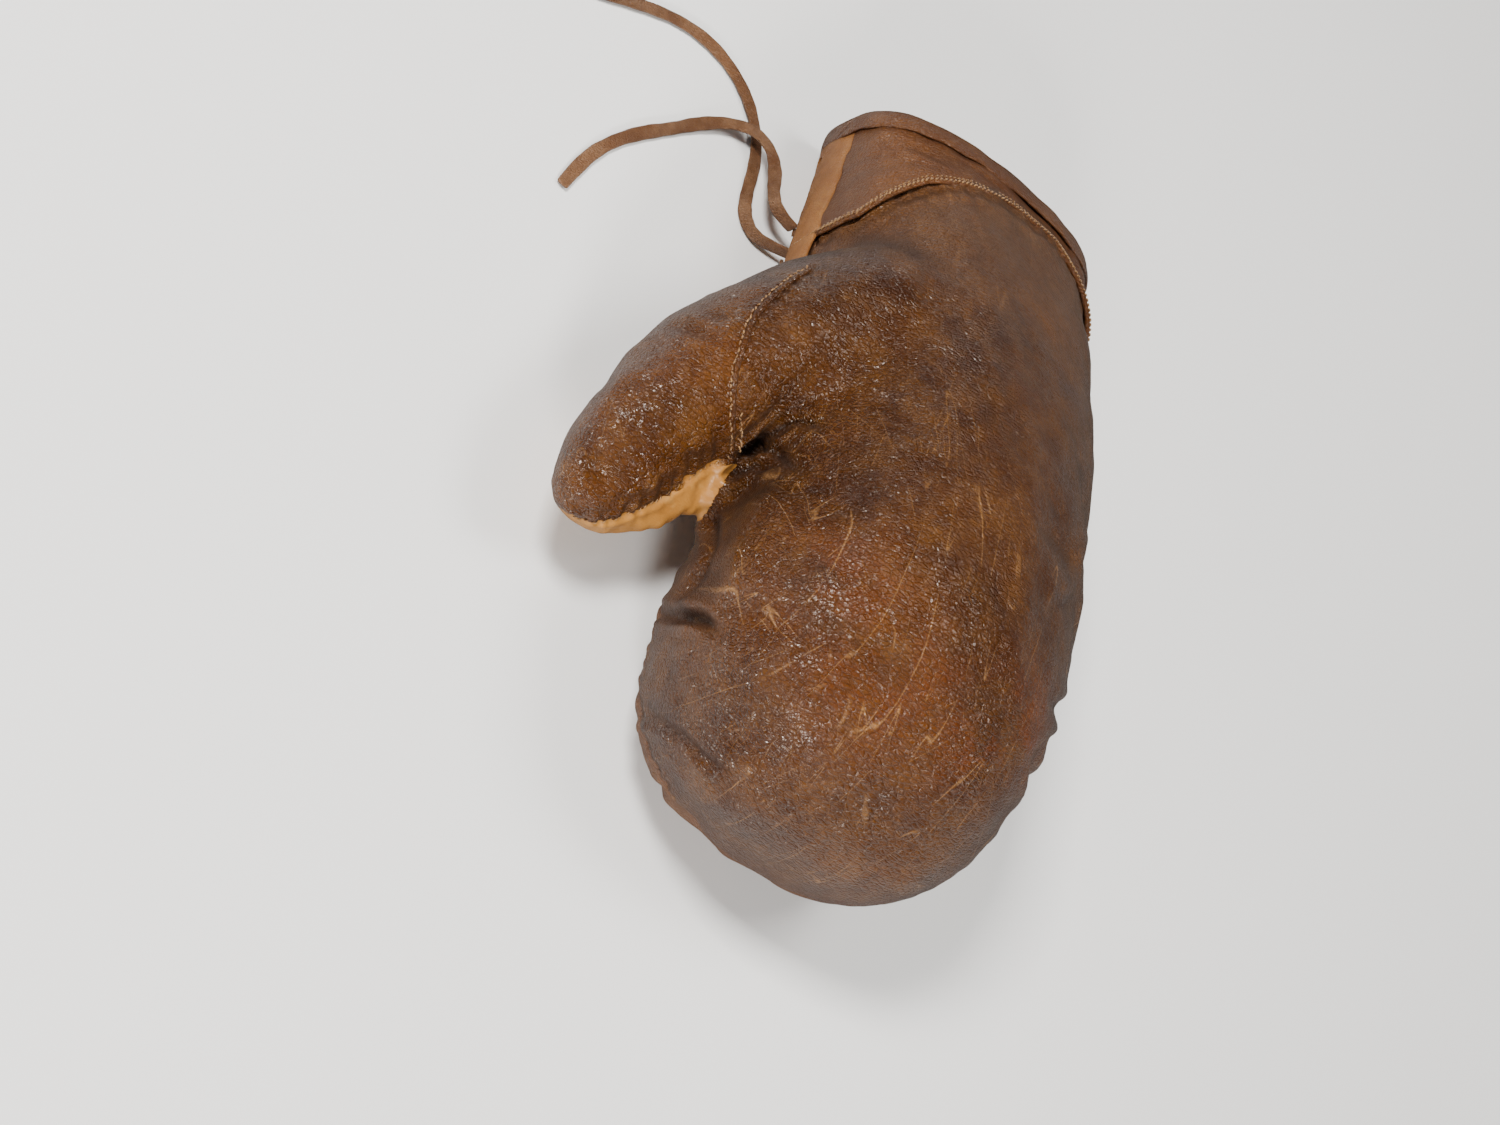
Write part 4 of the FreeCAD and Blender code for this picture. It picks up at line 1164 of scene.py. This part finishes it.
def fold_side(points, name):
    """How far on the loose side of a corner's fold points lie, negative elsewhere."""
    start, normal, inward = fold_plane(name)
    half = points[..., 0] < SLIT_X if name == "thumb" else points[..., 0] > SLIT_X
    near = half & ((points - start) @ inward < 22) & (points[..., 1] > 100)
    return np.where(near, (points - start) @ normal, -99.0)


def cut_apart(whole, names):
    """A piece of the cuff cut along the folds into the hand's part and the loose corners' parts, by key."""
    parts = {}
    for key, name in names.items():
        piece = parts[key] = linked(name, whole.data.copy())
        with editing(piece) as edit:
            for fold in FOLDS if key == "hand" else (key,):
                start, normal, _ = fold_plane(fold)
                shift = -FOLD_GAP if key == "hand" else FOLD_GAP
                bmesh.ops.bisect_plane(
                    edit, geom=edit.verts[:] + edit.edges[:] + edit.faces[:], dist=1e-7,
                    plane_co=Vector(metres(start + normal * shift)), plane_no=Vector(normal),
                )
            edit.faces.ensure_lookup_table()
            middles = face_middles(edit)
            if key == "hand":
                drop_faces(edit, np.all([fold_side(middles, fold) < 0 for fold in FOLDS], axis=0))
            else:
                drop_faces(edit, fold_side(middles, key) > 0)
    bpy.data.objects.remove(whole)
    return parts


def attach(piece, key):
    """Puts a piece on the hand, or bends it from the hand to a loose corner across that corner's fold."""
    if key == "hand":
        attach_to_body(piece, "hand")
        return
    start, normal, _ = fold_plane(key)
    end = start + normal * FOLD_BEND
    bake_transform(piece, "hand", BODY_OF[key], tuple(metres(start)), tuple(metres(end)))


def finish_parts(parts, material, nodes):
    """Paints the parts of a layer of the cuff and puts each on its body, in place of its CAD node."""
    for key, piece in parts.items():
        paint(piece, material)
        piece.data.shade_smooth()
        attach(piece, key)
        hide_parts(nodes[key])


SIDE_WALL_X, BOTTOM_Z = -52, 3      # about where the holes go through the leather
DRILL_REACH, DRILL_SIDES = 9, 20


def drill(piece):
    """Cuts the lace holes through a piece."""
    angles = np.linspace(0, 2 * np.pi, DRILL_SIDES, endpoint=False)
    cutters = []
    for y in HOLES_Y:
        for axis, middle in ((0, (SIDE_WALL_X, y, HOLE_Z)), (2, (HOLE_X, y, BOTTOM_Z))):
            rings = []
            for reach in (-DRILL_REACH, DRILL_REACH):
                ring = np.zeros((DRILL_SIDES, 3))
                ring[:, axis] = reach
                ring[:, (axis + 1) % 3] = HOLE_RADIUS * np.cos(angles)
                ring[:, (axis + 2) % 3] = HOLE_RADIUS * np.sin(angles)
                rings.append(ring + middle)
            cutters.append(np.array(rings))
    cutter = joined("cutter", cutters)
    outward(cutter)
    modify(piece, "BOOLEAN", operation="DIFFERENCE", object=cutter, solver="EXACT")
    bpy.data.objects.remove(cutter)


def cuff_band():
    """The leather band round the wrist, open at the slit, from its lower seam out to the rim."""
    part, rise = np.linspace(0, 1, 300)[None, :], np.linspace(0, 1, 40)[:, None]
    y = np.full((40, 300), CUFF_START_Y)
    for _ in range(4):
        angle = cuff_angle(y, part)
        low = cuff_seam_y(angle)
        y = low + (RIM_Y - 0.6 - low) * rise
    parts = cut_apart(grid_object("cuff", skin_at(y, angle, cuff_slack(y, angle, low))), {
        "hand": "cuff_band_leather", "thumb": "cuff_corner_thumb", "little": "cuff_corner_little",
    })
    for piece in parts.values():
        flip_outward(piece)
        modify(piece, "SOLIDIFY", thickness=0.0014, offset=-1)
        drill(piece)
    finish_parts(parts, CUFF_BROWN, {
        "hand": "cuff_band", "thumb": "corner_thumb_side", "little": "corner_little_side",
    })
    return parts


def flip_outward(piece):
    """Makes an open piece's faces look away from the cuff's middle line."""
    middle = metres([0, CUFF_START_Y, 30])
    total = 0.0
    for face in piece.data.polygons:
        away = np.array(face.center) - middle
        away[1] = 0
        total += float(away @ np.array(face.normal)) * face.area
    if total < 0:
        piece.data.flip_normals()


def crumpled(points, size, seed, amount):
    """A grid of points moved by smooth noise, by an amount along each axis."""
    flat = points.reshape(-1, 3)
    return (flat + rough(flat, size, seed)[:, None] * amount).reshape(points.shape)


def cuff_rim():
    """The strip folded over the rim: down the outside, round the end of the wall and up the inside."""
    part = np.linspace(0, 1, 340)
    same = np.ones(len(part))
    sections = []
    for step in np.linspace(0, 1, 7):
        y = same * (RIM_Y - HEM + step * (HEM - 1.0))
        wave = 0.25 * np.sin(np.arange(len(part)) * 0.35) * (1 - step)
        proud = CUFF_LAP + 0.9 + 0.35 * np.sin(step * np.pi)
        sections.append(skin_at(y + wave, cuff_angle(y, part), proud))
    y = same * (RIM_Y - 1.0)
    outer, inner = sections[-1], inner_wall(y, cuff_angle(y, part), RIM_INSET)
    for step in np.linspace(0.12, 0.88, 7):
        bulge = np.sin(step * np.pi) ** 0.6 * 2.0
        sections.append(outer + (inner - outer) * (0.5 - 0.5 * np.cos(step * np.pi)) + [0, bulge, 0])
    for step in np.linspace(0, 1, 4):
        y = same * (RIM_Y - 1.0 - step * (HEM - 1.5))
        sections.append(inner_wall(y, cuff_angle(y, part), RIM_INSET))
    points = crumpled(np.array(sections), 9.0, 31, np.array([0.5, 1, 0.5]) * 0.35)
    parts = cut_apart(grid_object("rim", points), {
        "hand": "cuff_rim_tape", "thumb": "rim_tape_thumb_corner", "little": "rim_tape_little_corner",
    })
    for piece in parts.values():
        modify(piece, "SOLIDIFY", thickness=STRIP_THICK, offset=0)
    finish_parts(parts, CUFF_BROWN, {
        "hand": "cuff_binding", "thumb": "corner_binding_thumb_side", "little": "corner_binding_little_side",
    })
    return parts


def facing(side):
    """An eyelet facing: a tan strip along the slit's edge, turned in round it."""
    y = np.linspace(SLIT_END_Y + 0.5, RIM_Y - HEM + 1.0, 110)
    places = np.stack([y, y * 0, y * 0], 1)
    if side == "thumb":
        waver = rough(places, 7.0, 46) * 1.1 + rough(places, 16.0, 43) * 1.0
        corner = np.clip((y - 129) / 9, 0, 1) ** 2 * 9.0
        far, slit, turn_in = wall_angle(y, FACING_TOP_Z + FACING_RISE + 1.6 * waver + corner), SLIT[0], 1
    else:
        far, slit, turn_in = corner_angle(y, FACING_EDGE_X - 1.0), SLIT[1], -1
    near = corner_angle(y, slit)
    rings = []
    for part in np.linspace(0, 1, 46):
        out = (CUFF_LAP + 0.75) * np.clip(0.35 + part * 14, 0, 1)
        rings.append(skin_at(y, far + (near - far) * part, out))
    edge = rings[-1]
    for lift, shift in ((0.6, -0.9), (1.6, -1.2), (2.6, -1.0), (3.0, 0.2), (3.1, 3.0), (3.0, 6.0)):
        moved = edge.copy()
        moved[:, 0] = slit - turn_in * shift
        moved[:, 2] += lift
        rings.append(moved)
    points = crumpled(np.array(rings), 5.0, 45, np.array([1, 0, 0.6]) * 0.22)
    parts = cut_apart(grid_object("facing", points), {
        "hand": "facing_strip_" + side, side: "facing_corner_" + side,
    })
    for piece in parts.values():
        modify(piece, "SOLIDIFY", thickness=STRIP_THICK, offset=0)
        drill(piece)
    finish_parts(parts, FACING_TAN, {
        "hand": f"facing_{side}_side", side: f"corner_facing_{side}_side",
    })


def ridge(name, line, out_dirs, half, height, material):
    """A rounded bead along a line of points, standing out along given directions."""
    across = unit(np.cross(unit(np.gradient(line, axis=0)), out_dirs))
    steps = np.arange(len(line))
    taper = np.sqrt(np.clip((np.minimum(steps, steps[::-1]) + 0.4) / 6, 0, 1))[:, None]
    half, height = half * taper, height * taper
    rings = []
    for angle in np.linspace(0, 2 * np.pi, 12, endpoint=False):
        rings.append(line + across * half * np.cos(angle) + out_dirs * height * np.sin(angle))
    piece = grid_object(name, np.swapaxes(np.array(rings), 0, 1), ring=True, capped=True)
    outward(piece)
    paint(piece, material)
    return piece


def cuff_line(low_at, parts, out):
    """Points along a line round the cuff and the directions out of the skin there."""
    y = np.full(len(parts), 120.0)
    for _ in range(4):
        angle = cuff_angle(y, parts)
        y = low_at(angle)
    points = skin_at(y, angle, out)
    return points, skin_at(y, angle, out + 1.0) - points


# ---------------------------------------------------------------- the lining and the tongue
def lining():
    """The pocket's cloth tube, bent with the fist and left open beside the slit."""
    end = -80 - 13.6 * np.sin(np.linspace(0.05, 1, 16) * np.pi / 2)
    y = np.concatenate([np.linspace(RIM_Y - 1.5, -80, 120), end])
    grid_y, grid_angle = np.meshgrid(y, np.arange(0, 360, 2.5), indexing="ij")
    points = inner_wall(grid_y, grid_angle)
    flat = points.reshape(-1, 3)
    away = (flat - [0, 0, 45.0]) * [1, 0, 1]
    away /= np.linalg.norm(away, axis=1, keepdims=True) + 1e-6
    folds = rough(flat * [1, 0.35, 1], 12.0, 51) * 0.9 + rough(flat * [1, 0.5, 1], 5.0, 52) * 0.35
    flat -= away * (0.7 + folds * 0.6)[:, None]
    piece = grid_object("lining_tube", flat.reshape(points.shape), ring=True)
    with editing(piece) as edit:
        drop_faces(edit, unpadded(face_middles(edit)) < 0.6)
    modify(piece, "SOLIDIFY", thickness=0.0009, offset=0)
    paint(piece, LINING_CLOTH)
    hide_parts("hand_lining", "finger_lining")
    blend_fist(piece)


def thumb_lining():
    """The cloth stall that the thumb goes into."""
    at = np.linspace(0.32, 0.62, 40)
    tip = 0.62 + 0.03 * np.sin(np.linspace(0.1, 1, 10) * np.pi / 2)
    inset = np.interp(at, [0.3, 0.62], [-14.0, -11.5])
    insets = np.concatenate([inset, -11.5 - 11.0 * (1 - np.cos(np.linspace(0.1, 1, 10) * np.pi / 2))])
    ats = np.concatenate([at, tip])
    points = thumb_at(ats[:, None], np.arange(0, 360, 7.5)[None, :], insets[:, None])
    flat = points.reshape(-1, 3)
    flat += rough(flat, 9.0, 55)[:, None] * [0.4, 0.2, 0.4]
    piece = grid_object("thumb_stall_cloth", flat.reshape(points.shape), ring=True)
    modify(piece, "SOLIDIFY", thickness=0.0008, offset=0)
    paint(piece, LINING_CLOTH)
    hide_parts("thumb_lining")
    blend_thumb(piece)


GRIP_FROM, GRIP_TO, GRIP_Y, GRIP_Z, GRIP_RADIUS = -36, 38, -74, 40, 6.6


def grip_roll():
    """The stuffed roll across the fingers' end of the pocket."""
    x = np.linspace(GRIP_FROM, GRIP_TO, 60)
    ends = np.sqrt(np.clip(1 - ((x - 1) / 37.2) ** 10, 0.02, 1))
    angle = np.linspace(0, 2 * np.pi, 32, endpoint=False)
    radius = GRIP_RADIUS * ends[:, None] * (1 + 0.03 * np.sin(x[:, None] * 0.8) * np.ones(32))
    across = x[:, None] + 0 * angle
    points = np.stack([across, GRIP_Y + radius * np.cos(angle), GRIP_Z + radius * np.sin(angle)], -1)
    piece = grid_object("finger_grip_roll", points, ring=True, capped=True)
    outward(piece)
    paint(piece, LINING_CLOTH)
    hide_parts("grip_roll")
    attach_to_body(piece, "fist")


TONGUE_X, TONGUE_Y, TONGUE_WIDTH, TONGUE_LENGTH, TONGUE_DEPTH = -29.2, 65.0, 25.6, 71.0, 6.8


def tongue():
    """The padded tongue behind the slit, quilted lengthwise."""
    u, v = np.meshgrid(np.linspace(0, 1, 90), np.linspace(0, 1, 44), indexing="ij")
    y = TONGUE_Y + TONGUE_LENGTH * u
    round_off = 1 - 0.18 * np.clip((u - 0.86) / 0.14, 0, 1) ** 2
    x = TONGUE_X + (v - 0.5) * TONGUE_WIDTH * round_off
    angle = corner_angle(y, x)
    angle = np.where(x > 0, -angle, angle)
    edge = np.clip(np.minimum(np.minimum(v, 1 - v) * 9, np.minimum(u, 1 - u) * 18), 0, 1) ** 0.5
    half = 0.35 + 1.05 * np.abs(np.sin(v * 4 * np.pi)) ** 0.5 * edge
    outer, inner = (skin_at(y, angle, -(TONGUE_DEPTH - side * half)).reshape(-1, 3) for side in (1, -1))
    rows, columns = u.shape
    quads = grid_faces(rows, columns, False)
    back = [tuple(i + len(outer) for i in reversed(face)) for face in quads]
    order = np.arange(rows * columns).reshape(rows, columns)
    rim = [*order[0], *order[1:, -1], *order[-1, -2::-1], *order[-2:0:-1, 0]]
    rim = [int(i) for i in rim]
    wall = [(a, b, b + len(outer), a + len(outer)) for a, b in zip(rim, rim[1:] + rim[:1])]
    piece = mesh_object("padded_tongue", np.vstack([outer, inner]), quads + back + wall)
    outward(piece)
    paint(piece, FACING_TAN)
    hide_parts("tongue")
    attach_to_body(piece, "tongue")


# ---------------------------------------------------------------- the lace
LACE_WIDTH, LACE_THICK = 5.0, 1.4
LACE_OVER, LACE_INSIDE = 2.75, -4.3         # middles of the runs outside the facings and inside the leather
LACED = 3                                   # this many pairs of holes, from the slit's end
LOW_HOLE_ANGLE = 174.0                      # where the bottom's holes are
# The two free ends, point by point from where each leaves the lacing.
LACE_END_A = [
    (-53.3, 102.0, 12.0), (-62.0, 102.8, 12.6), (-66.5, 109.0, 12.2), (-67.5, 118.0, 11.0),
    (-71.0, 127.0, 9.2), (-79.0, 131.5, 7.0), (-89.0, 129.0, 4.0), (-99.0, 122.0, 1.9),
    (-109.0, 112.0, 1.6), (-120.0, 102.0, 1.6), (-130.0, 90.0, 1.6), (-137.0, 77.0, 1.6),
    (-141.0, 63.0, 1.6),
]
LACE_END_B = [
    (-48.4, 95.6, 7.2), (-56.5, 94.4, 5.4), (-64.0, 95.6, 3.0), (-69.5, 102.0, 1.7),
    (-71.0, 112.0, 1.6), (-71.5, 123.0, 1.6), (-75.0, 134.5, 1.6), (-82.0, 144.0, 1.6),
    (-92.0, 151.0, 1.6), (-105.0, 155.0, 1.6), (-120.0, 154.5, 1.6), (-136.0, 149.5, 1.6),
    (-152.0, 142.0, 1.6), (-167.0, 136.0, 1.6), (-183.0, 133.0, 1.6), (-199.0, 127.0, 1.6),
    (-212.0, 119.0, 1.6),
]


def spline_points(name, route):
    """Points along the smooth NURBS line that a lace end follows, in metres."""
    curve = bpy.data.curves.new(name, "CURVE")
    curve.dimensions = "3D"
    curve.resolution_u = 14
    spline = curve.splines.new("NURBS")
    spline.points.add(len(route) - 1)
    for control, place in zip(spline.points, route):
        control.co = (*point(*place), 1)
    spline.order_u = 3
    spline.use_endpoint_u = True
    holder = linked(name, curve)
    mesh = bpy.data.meshes.new_from_object(holder)
    found = np.array([vertex.co for vertex in mesh.vertices])
    bpy.data.objects.remove(holder)
    return found


def ribbon(line, up, roll):
    """Rings of a flat lace's rounded section along a line; roll turns it from lying flat against up."""
    ahead = unit(np.gradient(line, axis=0))
    side = unit(np.cross(ahead, up))
    top = np.cross(side, ahead)
    turn = np.radians(roll)[:, None]
    side, top = side * np.cos(turn) + top * np.sin(turn), top * np.cos(turn) - side * np.sin(turn)
    outline = [(-0.5, -0.22), (-0.42, -0.5), (0, -0.42), (0.42, -0.5), (0.5, -0.22)]
    outline += [(0.5, 0.22), (0.42, 0.5), (0, 0.42), (-0.42, 0.5), (-0.5, 0.22)]
    steps = np.arange(len(line))
    swell = 1 + 0.05 * np.sin(steps * 0.21) + 0.03 * np.sin(steps * 0.67 + 1)
    rings = [line + side * (a * LACE_WIDTH * swell)[:, None] + top * (b * LACE_THICK) for a, b in outline]
    return np.swapaxes(np.array(rings), 0, 1)


def lace_end(name, route, node, wander):
    """A free end of the lace, lying along its route."""
    path = spline_points(name, route)
    line = path * 1000 - PLACE
    place = np.linspace(0, 1, len(line))
    roll = 78 * np.clip(1 - place / 0.4, 0, 1) ** 1.3 + 9 * np.sin(place * wander)
    points = ribbon(line, np.array([0, 0, 1.0]), roll)
    points[..., 2] = np.maximum(points[..., 2], FLOOR_GAP)
    piece = grid_object(name, points, ring=True, capped=True)
    outward(piece)
    modify(piece, "SUBSURF", levels=1)
    paint(piece, LACE_LEATHER)
    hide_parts(node)
    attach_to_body(piece, "hand")


def lace_run(start_y, end_y, out, top):
    """Rings of one run over the slit, from the bottom's hole at start_y to the side's at end_y."""
    part = np.linspace(0, 1, 40)
    y = start_y + (end_y - start_y) * part
    angle = LOW_HOLE_ANGLE + (wall_angle(end_y, np.array([top]))[0] - LOW_HOLE_ANGLE) * part
    for _ in range(3):
        places = skin_at(y, angle, out)
        share = (places[:, 0] - HOLE_X) / (places[-1, 0] - HOLE_X)
        y = start_y + (end_y - start_y) * share
    points = skin_at(y, angle, out)
    away = skin_at(y, angle, out + 1.0) - points
    return ribbon(points, away, 6 * np.sin(part * 5 + start_y))


def lacing():
    """The laced part: runs across the slit, bunched where they pass through the holes."""
    low, middle, high = HOLES_Y[:LACED]
    grids = [
        lace_run(low, low, LACE_INSIDE, 13.5),
        lace_run(low, middle, LACE_OVER, 13.5), lace_run(middle, low, LACE_OVER + 0.5, 13.5),
        lace_run(middle, high, LACE_INSIDE, 13.5), lace_run(high, middle, LACE_INSIDE, 13.5),
        lace_run(high, high - 8, LACE_OVER, 7.0),
    ]
    angle = np.linspace(0, 2 * np.pi, 10, endpoint=False)
    for y in HOLES_Y[:LACED]:
        wall = wall_angle(y, np.array([HOLE_Z]))[0]
        for at_hole in (wall, LOW_HOLE_ANGLE):
            start, end = skin_at(y, at_hole, LACE_OVER), skin_at(y, at_hole, LACE_INSIDE)
            ahead = (end - start) / np.linalg.norm(end - start)
            first = np.cross(ahead, [0, 1, 0])
            second = np.cross(ahead, first)
            steps = np.linspace(0, 1, 7)[:, None, None]
            circle = first * np.cos(angle)[:, None] + second * np.sin(angle)[:, None]
            grids.append(start + (end - start) * steps + circle * (1.45 + 0.5 * np.abs(steps - 0.5)))
    piece = joined("lacing_runs", grids)
    outward(piece)
    paint(piece, LACE_LEATHER)
    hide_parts("lacing")
    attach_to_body(piece, "hand")


def rest_on_floor():
    """Flattens the little that lies lower than the floor's top."""
    for piece in bpy.context.scene.objects:
        if piece.type != "MESH" or piece.name == "floor" or piece.name in CAD_NAMES:
            continue
        points = coordinates(piece)
        if len(points) and points[:, 2].min() < FLOOR_CLEAR:
            points[:, 2] = np.maximum(points[:, 2], FLOOR_CLEAR)
            set_coordinates(piece, points)


# ---------------------------------------------------------------- the thread
def even(line, spacing):
    """Points every spacing along a line, and the directions ahead."""
    lengths = np.concatenate([[0], np.cumsum(np.linalg.norm(np.diff(line, axis=0), axis=1))])
    wanted = np.arange(spacing / 2, lengths[-1], spacing)
    found = np.stack([np.interp(wanted, lengths, line[:, axis]) for axis in range(3)], 1)
    later = np.stack([np.interp(wanted + 0.3, lengths, line[:, axis]) for axis in range(3)], 1)
    ahead = later - found
    return found, ahead / (np.linalg.norm(ahead, axis=1, keepdims=True) + 1e-9)


def tree_of(*pieces):
    """A tree over the pieces' faces, in the glove's millimetres."""
    vertices, faces, first = [], [], 0
    for piece in pieces:
        points = coordinates(piece)
        vertices.append(points)
        faces += [tuple(first + i for i in face.vertices) for face in piece.data.polygons]
        first += len(points)
    return BVHTree.FromPolygons(np.vstack(vertices).tolist(), faces)


def stitch_grids(tree, line, spacing, length, radius, slant=0.0):
    """Stitches along a line on a surface: each an arched thread that dips in at both ends."""
    grids = []
    sides = np.linspace(0, 2 * np.pi, 7)[:-1]
    places, aheads = even(line, spacing)
    for place, ahead in zip(places, aheads):
        located, normal, _, off = tree.find_nearest(place)
        if off > 6:
            continue
        normal = np.array(normal)
        if normal @ (place - np.array([0, place[1], 45.0])) < 0 and abs(place[0]) < 60:
            normal = -normal
        across = np.cross(normal, ahead)
        across /= np.linalg.norm(across) + 1e-9
        jitter = RANDOM.normal(0, 1, 3)
        turn = math.radians(slant + 4 * jitter[0])
        along = ahead * math.cos(turn) + across * math.sin(turn)
        width = np.cross(normal, along)
        middle = np.array(located) + across * (0.08 * jitter[1])
        half = length * (1 + 0.08 * jitter[2]) / 2
        rings = []
        for step in np.linspace(-1, 1, 7):
            centre = middle + along * (half * step) + normal * (radius * (0.75 - 1.7 * step**4))
            size = radius * (1 - 0.35 * step**2)
            rings.append([centre + size * (width * np.cos(a) + normal * np.sin(a)) for a in sides])
        grids.append(np.array(rings))
    return grids


def thread_piece(name, grids, body=None):
    """The stitches of one seam as a piece, which rides on a body if one is given."""
    piece = joined(name, grids)
    outward(piece)
    paint(piece, THREAD)
    if body:
        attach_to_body(piece, body)
    return piece


def offset_line(line, tree, shift):
    """A line moved sideways on the surface by shift."""
    ahead = np.gradient(line, axis=0)
    moved = []
    for place, direction in zip(line, ahead):
        located, normal, _, _ = tree.find_nearest(place)
        across = np.cross(np.array(normal), direction)
        moved.append(np.array(located) + across / (np.linalg.norm(across) + 1e-9) * shift)
    return np.array(moved)


def bead_on(tree, name, line, half, height):
    """A rounded leather bead lying on a surface along a line."""
    found = [tree.find_nearest(place) for place in line]
    places, away = (np.array([np.array(f[i]) for f in found]) for i in (0, 1))
    for _ in range(6):
        away[1:-1] = (away[:-2] + away[1:-1] + away[2:]) / 3
        places[1:-1] = (places[:-2] + 2 * places[1:-1] + places[2:]) / 4
    return ridge(name, places, unit(away), half, height, BROWN)


# Each seam's stitches: their spacing, length and thread radius in mm, and their slant in degrees.
THUMB_STITCH, TAN_STITCH = (2.4, 1.8, 0.3), (2.3, 1.6, 0.2, 35)
WELT_STITCH, CUFF_STITCH, HEM_STITCH = (2.0, 2.1, 0.36, 26), (2.0, 1.7, 0.26, 12), (2.9, 2.2, 0.33)


def sew(leather, cuff, rim):
    """All the visible stitching, and the beads of the seams."""
    skin_tree = tree_of(*leather)
    seam = on_thumb(THUMB_SEAM, 0, 120)
    rows = []
    for shift, part in ((-2.4, seam), (2.2, seam[84:])):
        rows += stitch_grids(skin_tree, offset_line(part, skin_tree, shift), *THUMB_STITCH)
    blend_thumb(bead_on(skin_tree, "thumb_seam_bead", offset_line(seam, skin_tree, -0.9), 1.15, 0.85))
    blend_thumb(thread_piece("thumb_seam_thread", rows))
    edge = on_thumb(TAN_EDGE, 0, 120)
    blend_thumb(thread_piece("tan_panel_thread", stitch_grids(skin_tree, edge, *TAN_STITCH)))
    parts = np.linspace(0.02, 0.98, 500)
    cuff_tree = tree_of(cuff["hand"])
    low, away = cuff_line(lambda angle: cuff_seam_y(angle) - 0.6, parts, 0.35)
    welt = ridge("cuff_seam_bead", low, away, 1.3, 1.0, CUFF_BROWN)
    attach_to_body(welt, "hand")
    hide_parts("cuff_seam_welt")
    rows = stitch_grids(tree_of(welt), low + away * 1.3, *WELT_STITCH)
    line, _ = cuff_line(lambda angle: cuff_seam_y(angle) + 1.5, parts, 1.0)
    rows += stitch_grids(cuff_tree, line, *CUFF_STITCH)
    thread_piece("cuff_seam_thread", rows, "hand")
    line, _ = cuff_line(lambda angle: 0 * angle + RIM_Y - HEM + 1.6, parts, 1.5)
    for key, piece in rim.items():
        if key == "hand":
            inside = np.all([fold_side(line, fold) <= 0 for fold in FOLDS], axis=0)
        else:
            inside = fold_side(line, key) > 0
        stitches = stitch_grids(tree_of(piece), line[inside], *HEM_STITCH)
        thread_piece("hem_thread_" + key, stitches, BODY_OF[key])


set_stage()
leather = leather_pieces()
cuff = cuff_band()
rim = cuff_rim()
for side in ("thumb", "little"):
    facing(side)
lining()
thumb_lining()
grip_roll()
tongue()
lacing()
lace_end("lace_end_upper", LACE_END_A, "lace_end_a", 11.0)
lace_end("lace_end_lower", LACE_END_B, "lace_end_b", 15.0)
sew(leather, cuff, rim)
rest_on_floor()
